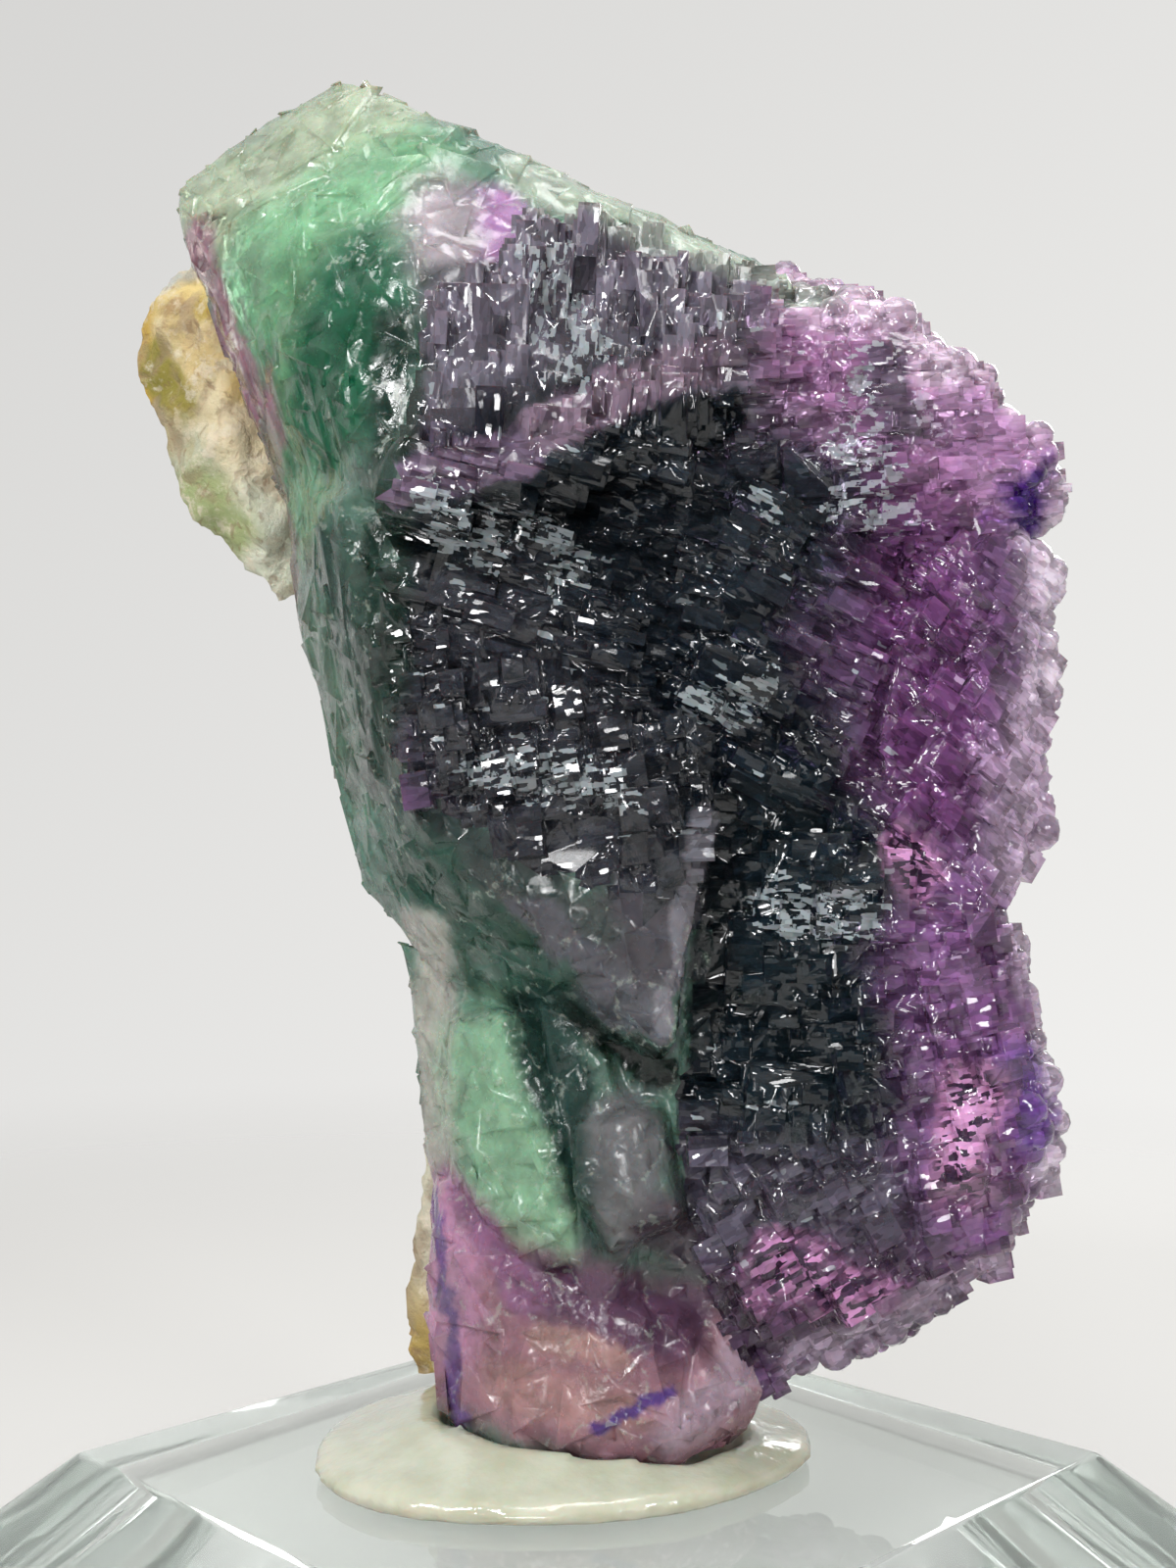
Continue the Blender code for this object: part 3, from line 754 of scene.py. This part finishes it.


# %% [markdown]
# ## The grown finish
# The grown faces are dark blue-grey in the middle and violet towards the rim, where the plate is thin and
# almost clear. Under a lens each face is a mosaic of tiny square facets that catch the light one by one.
# A Chebychev Voronoi texture has square cells. Each cell gets a random tilt, which the Bump node turns into
# a facet, and a random value, which makes some facets paler. In a few cells, and in many within the glitter
# zones, it also lays painted glints: pale specks in the colour, as highlights. The pattern turns with the
# nearest growth domain, so that its rows follow the cubes. The body is see-through by transmission, IOR and
# absorption, with some subsurface light for its milkiness.

# %% Zones of the grown faces
GROWN_GROUND = "775880"
GROWN_ZONES = [
    # name, start (x, z), end (x, z), radius, blur, colour
    ("grey shoulder", (-6, 96), (7, 94), 9.5, 0.4, "6d6775"),
    ("dark core", (0, 80), (11, 54), 12.5, 0.3, "141c25"),
    ("upper core", (-8, 80), (14, 83), 5.5, 0.5, "232a32"),
    ("wedge", (-9, 76), (3, 56), 7.2, 0.35, "30323a"),
    ("lower dark", (13, 60), (13.5, 46), 7.0, 0.3, "131f26"),
    ("lower grey", (6, 40), (17, 38), 4.2, 0.5, "575261"),
    ("bottom violet", (8, 31), (22, 33), 4.6, 0.5, "4f3b52"),
    ("right magenta", (21.5, 83), (22.5, 66), 4.0, 0.6, "683d6c"),
    ("right rim", (32.8, 86), (32.8, 70), 3.3, 0.5, "dccbdc"),
    ("right rim below", (31.2, 67.6), (30.8, 60), 4.2, 0.6, "ceb5d0"),
    ("lower right", (24, 56), (27, 38), 4.6, 0.6, "77507f"),
    ("lower rim", (31.8, 56), (32.8, 41), 3.2, 0.5, "d6c5d7"),
    ("bottom rim", (29, 36), (14, 27), 1.7, 0.6, "a592a7"),
    ("dome", (17, 94), (26, 89), 5.6, 0.6, "9b6c98"),
    ("dome rim", (14, 101), (30, 91.5), 3.2, 0.6, "d3bbd0"),
    ("dome right", (25.4, 89), (29, 87), 3.0, 0.6, "c494c4"),
    ("dome heart", (19.7, 91.9), (20.2, 89.5), 2.0, 0.35, "64546a"),
    ("violet spot", (30, 86.4), (29.6, 85.2), 1.9, 0.6, "3a1470"),
    ("deep violet", (28.4, 48), (29.6, 43), 1.6, 0.7, "6a4390"),
    ("pink steps above", (20.6, 61.6), (21.6, 59.4), 1.7, 0.5, "d394c6"),
    ("pink steps at the right", (24, 46), (24, 41), 2.1, 0.5, "d398c6"),
    ("pink steps below", (12, 35.4), (17, 33.6), 1.9, 0.5, "cd8ec0"),
]
# These keep close to an edge of the crystals, so they are bent less.
GROWN_EDGES = [
    ("seam", (-11.4, 92), (-13.4, 66), 1.5, 0.6, "24352f"),
    ("shade under the ledge", (-9.5, 81), (0, 84.4), 1.5, 0.3, "12191f"),
    ("shade right of the ledge", (1.5, 85.6), (9, 89.4), 1.3, 0.3, "12191f"),
    ("ledge", (-12, 84.2), (-4, 86.2), 1.5, 0.25, "6f5d74"),
    ("right of the ledge", (-2.5, 88), (8, 92.6), 1.6, 0.25, "7d6a7c"),
    ("shade right of the wedge", (9.4, 64), (7.6, 51), 1.5, 0.3, "0e161b"),
    # Painted highlight: the pale line along the wedge's right edge.
    ("highlight on the wedge edge", (7.2, 64), (5.0, 50.5), 0.9, 0.3, "6d6c75"),
    ("pale top", (-2, 104.4), (15, 98.8), 1.5, 0.5, "a3aba3"),
    ("lower lip of the wedge", (-3, 59), (4.6, 51), 1.0, 0.35, "5a5962"),
]
# Here many facets get painted glints at once: name, start, end, radius, blur.
PAINTED_GLITTER_ZONES = [
    ("above the ledge", (-2.4, 99), (-0.6, 91.5), 1.6, 0.6),
    ("under the ledge", (-9.5, 82.5), (-6, 81), 1.6, 0.6),
    ("pale face", (-2.6, 81.4), (-0.6, 79.6), 1.3, 0.5),
    ("middle", (6.5, 70.4), (12, 72), 1.0, 0.6),
    ("wedge", (-7, 67.4), (1.5, 65.4), 1.4, 0.6),
    ("lower face", (12.5, 58.6), (17, 57.2), 1.9, 0.4),
    ("left of the dome", (17.2, 93), (17.7, 89), 1.1, 0.3),
    ("right of the dome", (22.4, 90.8), (22.9, 88.4), 0.8, 0.5),
    ("below the dome", (16.2, 87.2), (19, 86), 1.1, 0.6),
    ("rows under the dome", (15.9, 84.7), (21.4, 83.4), 0.8, 0.5),
    ("right of the core", (10.6, 84.6), (12, 83.6), 0.9, 0.5),
]
STEPS = ["pink steps above", "pink steps at the right", "pink steps below"]
print(len(GROWN_ZONES) + len(GROWN_EDGES), "zones of colour on the grown faces")

# %% Facets
FLUORITE_IOR, CLEARNESS = 1.434, 0.45
COARSE_FACETS = {"shape": (0.5, 1.0, 1.0), "scale": 0.8, "tilt": 0.9}
FINE_FACETS = {"shape": (1.0, 1.4, 2.6), "scale": 1.2, "tilt": 0.75}
UPRIGHT_FROM = 1.5  # cubes stretched further than this in height carry upright bars


def facets(tree, position, shape, scale, tilt):
    """A height that tilts each square cell its own way, and each cell's random colour."""
    position = vectors(tree, "MULTIPLY", position, shape)
    inputs = {"Vector": position, "Scale": scale}
    cells = add(tree, "ShaderNodeTexVoronoi", inputs, distance="CHEBYCHEV").outputs
    middle = vectors(tree, "SUBTRACT", scaled(tree, position, scale), scaled(tree, cells["Position"], scale))
    lean = vectors(tree, "SUBTRACT", cells["Color"], (0.5, 0.5, 0.5))
    return maths(tree, "MULTIPLY", dot(tree, middle, lean), tilt), cells["Color"]


def lattice_position(tree, position):
    """The position turned back with the nearest growth domain, so that bars along x follow its cubes."""
    front = vectors(tree, "MULTIPLY", position, (1.0, 0.0, 1.0))
    nearest, turn = 1e6, 0.0
    for domain in DOMAINS.values():
        x, z = domain.middle
        away = length_of(tree, vectors(tree, "SUBTRACT", front, (x, 0.0, z)))
        closer = maths(tree, "LESS_THAN", away, nearest)
        angle = domain.turn + (90 if domain.stretch[2] > UPRIGHT_FROM else 0)
        gap = maths(tree, "SUBTRACT", math.radians(angle), turn)
        turn = maths(tree, "MULTIPLY_ADD", closer, gap, turn)
        nearest = maths(tree, "MINIMUM", away, nearest)
    inputs = {"Vector": position, "Angle": turn}
    return add(tree, "ShaderNodeVectorRotate", inputs, rotation_type="Y_AXIS", invert=True).outputs[0]


print("facets about", [round(1 / size["scale"], 2) for size in (COARSE_FACETS, FINE_FACETS)], "mm wide")


# %% Grown finish
def with_bars(tree, colour, masks, chance):
    """The colour with dark bars over the pink steps."""
    steps = 0.0
    for name in STEPS:
        steps = maths(tree, "MAXIMUM", steps, masks[name])
    bar = smooth_range(tree, chance, 0.5, 0.6)
    return blend_colours(tree, maths(tree, "MULTIPLY", steps, bar), colour, srgb("3d2b42"))


def painted_glints(tree, position, bent, chance):
    """The mask of the painted glints, pale specks laid into the colour as highlights: a few anywhere, many in
    the glitter zones.
    """
    glitter = 0.0
    for zone in PAINTED_GLITTER_ZONES:
        glitter = maths(tree, "MAXIMUM", glitter, zone_node(tree, bent, *zone))
    patchy = smooth_range(tree, grain(tree, position, 0.9, 4.0, 0.7), 0.4, 0.62, 0.3, 0.8)
    return smooth_range(tree, maths(tree, "MULTIPLY_ADD", glitter, patchy, chance), 0.992, 0.997)


def painted_glint_colour(tree, bent, cell):
    """The colour of the painted glints: cool grey, turning pink towards the right, and different in each
    facet.
    """
    right = smooth_range(tree, add(tree, "ShaderNodeSeparateXYZ", {0: bent}).outputs["X"], 20.0, 25.0)
    shine = blend_colours(tree, right, srgb("b4bec2"), srgb("d6b4da"))
    return shaded(tree, shine, smooth_range(tree, cell, 0.0, 1.0, 0.55, 1.35))


def grown_finish():
    material, tree, shader, position = new_material("grown_fluorite", FLUORITE_IOR, CLEARNESS)
    bent = bent_position(tree, position, 7.0, 0.2)
    colour, masks = painted_zones(tree, bent, srgb(GROWN_GROUND), GROWN_ZONES)
    colour, _ = painted_zones(tree, bent_position(tree, position, 2.6, 0.4), colour, GROWN_EDGES)
    lattice = lattice_position(tree, position)
    coarse, coarse_cell = facets(tree, lattice, **COARSE_FACETS)
    fine, fine_cell = facets(tree, lattice, **FINE_FACETS)
    colour = shaded(tree, colour, smooth_range(tree, coarse_cell, 0.1, 0.9, 0.6, 1.45))
    colour = shaded(tree, colour, smooth_range(tree, fine_cell, 0.1, 0.9, 0.74, 1.26))
    chance = add(tree, "ShaderNodeSeparateColor", {0: fine_cell}).outputs
    colour = with_bars(tree, colour, masks, chance[0])
    # Painted highlights: pale specks laid into the colour where facets would catch the light.
    glint = maths(tree, "MULTIPLY", painted_glints(tree, position, bent, chance[1]), 0.7)
    colour = blend_colours(tree, glint, colour, painted_glint_colour(tree, bent, fine_cell))
    tree.links.new(colour, shader.inputs["Base Color"])
    shader.inputs["Roughness"].default_value = 0.1
    shader.inputs["Coat Weight"].default_value = 0.25
    scatter_light(shader, 0.2, 1.5)
    absorb(material, (0.72, 0.66, 0.76), 35)
    emboss(tree, shader, 0.6, 0.3, maths(tree, "ADD", coarse, fine))
    return material


grown_material = grown_finish()
print(grown_material.name, len(grown_material.node_tree.nodes), "nodes")

# %% [markdown]
# ## The cleaved finish
# The cleaved side is milky green, pale at the tip and dark where the two colours meet, with mauve outer
# layers. Its breaks are smooth, with pale ragged lines where one fracture step ends, so it gets streaks and
# lines in place of facets.

# %% Zones of the cleaved faces
CLEAVED_GROUND = "66897a"
CLEAVED_ZONES = [
    # name, start (x, z), end (x, z), radius, blur, colour
    ("pale tip", (-26, 107), (-15, 112.5), 4.6, 0.6, "a9b79c"),
    ("bright green", (-21, 101), (-12.5, 106), 4.0, 0.7, "83b98f"),
    ("mid green", (-19.5, 99), (-19, 88), 3.0, 0.6, "6b9f78"),
    ("deep green", (-14.6, 97.5), (-16.8, 89.5), 3.7, 0.4, "1d6145"),
    ("pale flank", (-19.6, 86), (-19.4, 82.5), 2.4, 0.6, "76a484"),
    ("dark flank", (-17, 81), (-15.6, 75), 2.3, 0.6, "2f4e45"),
    ("grey flank", (-13.6, 74), (-12, 66), 1.8, 0.6, "56625b"),
    ("outer flank", (-19.5, 78), (-15.6, 66), 1.6, 0.6, "5d7a69"),
    ("lower green", (-11, 61.5), (-1, 53), 3.0, 0.5, "2c5447"),
    ("wedge face", (4, 60), (2.6, 53.4), 3.2, 0.45, "55525a"),
    ("wedge slope", (-6, 61), (0, 56.6), 1.9, 0.6, "444c4b"),
    ("grey edge", (-3.6, 58), (4.6, 50), 1.3, 0.4, "5a5a62"),
    # Painted highlight: the pale line along the wedge's right edge.
    ("highlight on the wedge edge", (6.6, 61), (5.2, 50.4), 0.7, 0.35, "85838c"),
    # Painted shade: the dark gap right of the wedge and the dark below its tip.
    ("right of the wedge", (8.6, 61), (7.4, 48), 1.3, 0.3, "0f171c"),
    ("shade under the wedge", (-3, 52), (4.6, 47.4), 1.2, 0.4, "16231f"),
    ("seam", (-11.6, 95), (-14.2, 67), 1.5, 0.7, "294239"),
    ("lower seam", (-12, 65), (-3, 60.4), 1.3, 0.6, "3b4a48"),
    ("mauve outer layer", (-27.6, 104.6), (-22.6, 91), 1.3, 0.6, "9c7384"),
    ("mauve outer layer below", (-22.8, 91), (-20.6, 78), 0.9, 0.6, "8f8782"),
    ("white glow", (-9.4, 103.4), (-8.2, 100.2), 2.8, 0.6, "b3a7b0"),
    ("violet glow", (-5.8, 104), (-5.0, 99.4), 1.7, 0.6, "ae7fb2"),
    ("grey under the glow", (-9, 97), (-4, 97.6), 1.6, 0.6, "67646d"),
    ("pale strip", (-10.8, 56), (-10.2, 40.6), 1.7, 0.5, "bdbcb3"),
    ("green body", (-6, 47.5), (-3.6, 36.5), 3.9, 0.5, "90bb9a"),
    ("dark strip", (-3.4, 51.5), (1.4, 35.5), 1.9, 0.35, "2d4842"),
    ("grey lump", (2.6, 44), (3.2, 38), 2.5, 0.4, "77787b"),
    ("foot", (-8.4, 31), (6.4, 26), 6.2, 0.3, "a07784"),
    ("mauve foot", (-8.8, 37.6), (-9.4, 30), 2.2, 0.6, "cc97b9"),
    ("plum foot", (-2.6, 33.4), (6, 30.8), 2.4, 0.5, "674962"),
    ("peach foot", (-5, 27), (2.2, 25.8), 1.7, 0.6, "b48b8b"),
    ("pale edge of the foot", (5.4, 24.2), (10.8, 28), 1.5, 0.6, "b9a0b0"),
    ("magenta under the green", (-8.4, 38.4), (-3.8, 32.8), 1.0, 0.7, "94668a"),
    ("grey above the foot", (5, 37.6), (8.4, 34.6), 2.2, 0.5, "564c56"),
    ("beige folds", (-3.4, 30), (2.2, 28.9), 0.8, 0.6, "b28d8a"),
    ("violet line", (-10.4, 37.6), (-8.4, 24), 0.5, 0.7, "7b5d95"),
    ("violet edge", (0.4, 24.6), (5.2, 27), 0.45, 0.6, "5d4088"),
    ("ridge", (-3, 107), (16, 100), 2.6, 0.4, "adbbaa"),
]
print(len(CLEAVED_ZONES), "zones of colour on the cleaved faces")


# %% Cleaved finish
def fracture_distance(tree, position):
    """The distance to the nearest line where a fracture step ends."""
    swirl = bent_position(tree, position, 3.0, 0.5, flat=False)
    inputs = {"Vector": vectors(tree, "MULTIPLY", swirl, (1.0, 1.0, 0.6)), "Scale": 0.21}
    return add(tree, "ShaderNodeTexVoronoi", inputs, feature="DISTANCE_TO_EDGE").outputs["Distance"]


def cleaved_finish():
    material, tree, shader, position = new_material("cleaved_fluorite", FLUORITE_IOR, CLEARNESS)
    bent = bent_position(tree, position, 4.5, 0.22)
    colour, _ = painted_zones(tree, bent, srgb(CLEAVED_GROUND), CLEAVED_ZONES)
    cloud = grain(tree, position, 0.45, 6.0, 0.65)
    colour = shaded(tree, colour, smooth_range(tree, cloud, 0.3, 0.7, 0.72, 1.28))
    edges = fracture_distance(tree, position)
    ragged = grain(tree, position, 1.4, 4.0)
    torn = smooth_range(tree, ragged, 0.48, 0.62)
    line = maths(tree, "MULTIPLY", smooth_range(tree, edges, 0.035, 0.005), torn)
    colour = blend_colours(tree, maths(tree, "MULTIPLY", line, 0.35), colour, srgb("d3ddd0"))
    tree.links.new(colour, shader.inputs["Base Color"])
    tree.links.new(smooth_range(tree, ragged, 0.35, 0.65, 0.1, 0.3), shader.inputs["Roughness"])
    scatter_light(shader, 0.3, 2.0)
    absorb(material, (0.7, 0.78, 0.72), 30)
    steps = maths(tree, "MULTIPLY", smooth_range(tree, edges, 0.0, 0.12), 0.5)
    height = maths(tree, "ADD", cloud, maths(tree, "MULTIPLY", ragged, 0.4))
    emboss(tree, shader, 0.24, 0.3, maths(tree, "ADD", height, steps))
    return material


cleaved_material = cleaved_finish()
print(cleaved_material.name, len(cleaved_material.node_tree.nodes), "nodes")

# %% [markdown]
# ## Grow the skin
# With both finishes made, the modifier can run. A modifier's inputs are set by their sockets' identifiers,
# because two sockets may share a name. The result is then made a plain mesh, since the later steps and
# other programs know nothing of modifiers. The union leaves a few loose crumbs and sealed bubbles, which no
# crystal has, so only the largest shell stays.


# %% Loose shells
def keep_largest_shell(mesh):
    """Drops loose crumbs and sealed bubbles."""
    bm = bmesh.new()
    bm.from_mesh(mesh)
    shells, left = [], set(bm.verts)
    while left:
        shell, queue = [], [left.pop()]
        while queue:
            vert = queue.pop()
            shell.append(vert)
            for edge in vert.link_edges:
                other = edge.other_vert(vert)
                if other in left:
                    left.remove(other)
                    queue.append(other)
        shells.append(shell)
    shells.sort(key=len)
    bmesh.ops.delete(bm, geom=[v for shell in shells[:-1] for v in shell], context="VERTS")
    bmesh.ops.triangulate(bm, faces=bm.faces)
    bm.to_mesh(mesh)
    bm.free()
    print(len(shells), "shells, the largest kept")


# %% Grow the skin
skin = fluorite.modifiers.new("growth skin", "NODES")
skin.node_group = skin_tree
for socket in skin_tree.interface.items_tree:
    if socket.name == "Grown finish":
        skin[socket.identifier] = grown_material
    elif socket.name == "Cleaved finish":
        skin[socket.identifier] = cleaved_material
settle(fluorite)
keep_largest_shell(fluorite.data)
finish_piece(fluorite, "fluorite_crystals", 30)

# %% [markdown]
# ## The rock matrix
# The matrix is a broken slab of altered rock: cream, lumpy and pitted, stained ochre along its outer edge.
# Sculpting would do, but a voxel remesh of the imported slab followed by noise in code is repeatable: large
# soft lumps first, then pits that only go inwards, so that it keeps clear of the crystals. Its colours are
# soft zones again, and over them four layers of stain, each made from one noise.

# %% Matrix shape
ROCK_VOXEL = 0.62
LUMP_HEIGHT, LUMP_SCALE = 0.7, 0.38
PIT_DEPTH, PIT_SCALE, PIT_REACH = 0.75, 0.62, 0.42
PIT_PATCHES = 0.2
OUT_LIMIT = 0.22


def remeshed(name, node_name, voxel, smoothings):
    """A copy of a node with an even, closed mesh."""
    obj = object_of(name, merged_copy(node_name))
    remesh = obj.modifiers.new("even mesh", "REMESH")
    remesh.mode, remesh.voxel_size = "VOXEL", voxel * MM
    smooth = obj.modifiers.new("soften", "SMOOTH")
    smooth.iterations, smooth.factor = smoothings, 0.5
    settle(obj)
    return obj


def rock_height(spot):
    """How far a spot of the rock moves along its normal."""
    lumps = noise.fractal(spot * LUMP_SCALE, 0.7, 2.2, 5) * LUMP_HEIGHT
    nearest, _ = noise.voronoi(spot * PIT_SCALE)
    patchy = 0.5 + 0.5 * noise.noise(spot * PIT_PATCHES)
    pits = max(0.0, PIT_REACH - nearest[0]) / PIT_REACH * PIT_DEPTH * patchy
    return min(lumps - pits, OUT_LIMIT)


rock = remeshed("matrix_rock", "rock_matrix", ROCK_VOXEL, 2)
mesh = rock.data
normals = [v.normal.copy() for v in mesh.vertices]
for v, normal in zip(mesh.vertices, normals):
    v.co += normal * rock_height(v.co / MM) * MM
print(len(mesh.vertices), "points in the rock")

# %% Matrix colours
ROCK_GROUND = "dbcda9"
ROCK_ZONES = [
    # name, start (x, z), end (x, z), radius, blur, colour
    ("grey-green", (-25, 84), (-20, 76), 5.0, 0.6, "d7dac6"),
    ("lower left", (-32, 95), (-29.6, 89.6), 2.0, 0.5, "b4b69c"),
    ("green stain", (-29.4, 88.4), (-26.6, 85.6), 1.9, 0.5, "a3ae7b"),
    ("yellow top", (-33, 103.6), (-27.6, 102.6), 1.9, 0.5, "d3bd80"),
    ("ochre rim", (-34.6, 102.4), (-34, 96), 1.6, 0.5, "c4a147"),
    ("olive rim", (-32.8, 98.4), (-30.6, 95.6), 1.7, 0.4, "8f8538"),
    ("olive spot", (-29, 102), (-28.4, 101.6), 1.0, 0.5, "b0973f"),
    ("brown spot", (-31.4, 102.2), (-30.8, 102.2), 0.8, 0.5, "a38862"),
    ("yellow face", (-30, 100.4), (-28.4, 97.6), 1.6, 0.6, "cbb480"),
    ("ochre middle", (-25.8, 99.4), (-25.6, 96), 1.2, 0.6, "ccb16f"),
    ("blue-grey top", (-33, 105.4), (-28, 105.6), 1.4, 0.5, "a7adad"),
    ("amber foot", (-13, 29), (-13, 23), 2.8, 0.6, "b59a55"),
    ("lower slab", (-11, 52), (-9, 34), 6.0, 0.7, "c6c2ad"),
]
STAINS = [
    # name, noise (scale, detail, roughness, distortion), its value where bare and full, strength, colour
    ("pale", (0.5, 8.0, 0.7, 0.0), (0.5, 0.62), 0.65, "ddd3bd"),
    ("ochre", (0.11, 4.0, 0.6, 0.0), (0.5, 0.66), 0.45, "b29a5c"),
    ("hollow", (0.34, 5.0, 0.5, 0.6), (0.5, 0.66), 0.6, "97826a"),
    ("brown", (0.9, 7.0, 0.5, 0.8), (0.58, 0.68), 0.5, "85684a"),
]
print(len(ROCK_ZONES), "zones and", len(STAINS), "stains on the rock")


# %% Matrix finish
def rock_finish():
    material, tree, shader, position = new_material("altered_rock")
    bent = bent_position(tree, position, 3.0, 0.35)
    colour, _ = painted_zones(tree, bent, srgb(ROCK_GROUND), ROCK_ZONES)
    grains, masks = {}, {}
    for name, texture, (bare, full), strength, code in STAINS:
        grains[name] = grain(tree, position, *texture)
        masks[name] = smooth_range(tree, grains[name], bare, full)
        colour = blend_colours(tree, maths(tree, "MULTIPLY", masks[name], strength), colour, srgb(code))
    tree.links.new(colour, shader.inputs["Base Color"])
    shader.inputs["Roughness"].default_value = 0.85
    scatter_light(shader, 0.1, 1.0)
    height = maths(tree, "MULTIPLY_ADD", grains["pale"], 1.2, grain(tree, position, 2.6, 6.0, 0.7))
    emboss(tree, shader, 0.7, 0.4, maths(tree, "MULTIPLY_ADD", masks["hollow"], -0.8, height))
    return material


rock.data.materials.append(rock_finish())
finish_piece(rock, "rock_matrix", 60)

# %% [markdown]
# ## The putty
# The putty was pressed down by hand: a low glossy pad, almost white and a little translucent, with shallow
# finger waves and a lip that creeps up where the foot was pushed in. An even mesh, smoothed and moved by
# slow noise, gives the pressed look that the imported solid's rings can't.

# %% Putty
PUTTY_VOXEL = 0.6
PUTTY_WAVE, PUTTY_WAVE_SCALE = 0.34, 0.13
PUTTY_EDGE = 1.2  # the waves grow to their full height over this much of the pad's rise


def putty_finish():
    material, tree, shader, position = new_material("putty", 1.45)
    mottle = grain(tree, position, 0.3, 4.0)
    colour = blend_colours(tree, smooth_range(tree, mottle, 0.3, 0.7), srgb("a9ac97"), srgb("b9bcaa"))
    tree.links.new(colour, shader.inputs["Base Color"])
    tree.links.new(smooth_range(tree, mottle, 0.35, 0.65, 0.14, 0.26), shader.inputs["Roughness"])
    shader.inputs["Coat Weight"].default_value = 0.6
    shader.inputs["Coat Roughness"].default_value = 0.08
    scatter_light(shader, 0.5, 2.5)
    emboss(tree, shader, 0.35, 0.3, grain(tree, position, 0.9, 3.0))
    return material


putty = remeshed("putty_pad", "mounting_putty", PUTTY_VOXEL, 6)
underside = min(v.co.z for v in putty.data.vertices)
for v in putty.data.vertices:
    rise = min(1.0, (v.co.z - underside) / (PUTTY_EDGE * MM))
    wave = noise.fractal(v.co / MM * PUTTY_WAVE_SCALE, 1.0, 2.0, 3) * PUTTY_WAVE
    v.co += v.normal * wave * rise * MM
putty.data.materials.append(putty_finish())
finish_piece(putty, "mounting_putty", 180)

# %% [markdown]
# ## The glass stand
# The stand is a polished block of clear glass with wide bevels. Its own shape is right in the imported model,
# but real polished edges are never razor sharp: a narrow bevel on each edge draws the bright lines that
# make it read as glass. Its pale green comes from absorption, so it is deepest where light travels furthest.

# %% Stand
EDGE_POLISH = 0.35


def glass_finish():
    material, tree, shader, position = new_material("stand_glass", 1.52, 0.96)
    haze = smooth_range(tree, grain(tree, position, 0.12, 3.0), 0.35, 0.75, 0.005, 0.05)
    tree.links.new(haze, shader.inputs["Roughness"])
    shader.inputs["Base Color"].default_value = srgb("fafcfb")
    absorb(material, (0.87, 0.945, 0.9), 8)
    return material


stand = object_of("glass_block", merged_copy("glass_stand"), glass_finish())
bm = bmesh.new()
bm.from_mesh(stand.data)
bmesh.ops.dissolve_limit(bm, angle_limit=math.radians(1), verts=bm.verts, edges=bm.edges)
bmesh.ops.bevel(bm, geom=bm.edges, offset=EDGE_POLISH * MM, segments=2, affect="EDGES", profile=0.5)
bm.to_mesh(stand.data)
bm.free()
finish_piece(stand, "glass_stand", 20)
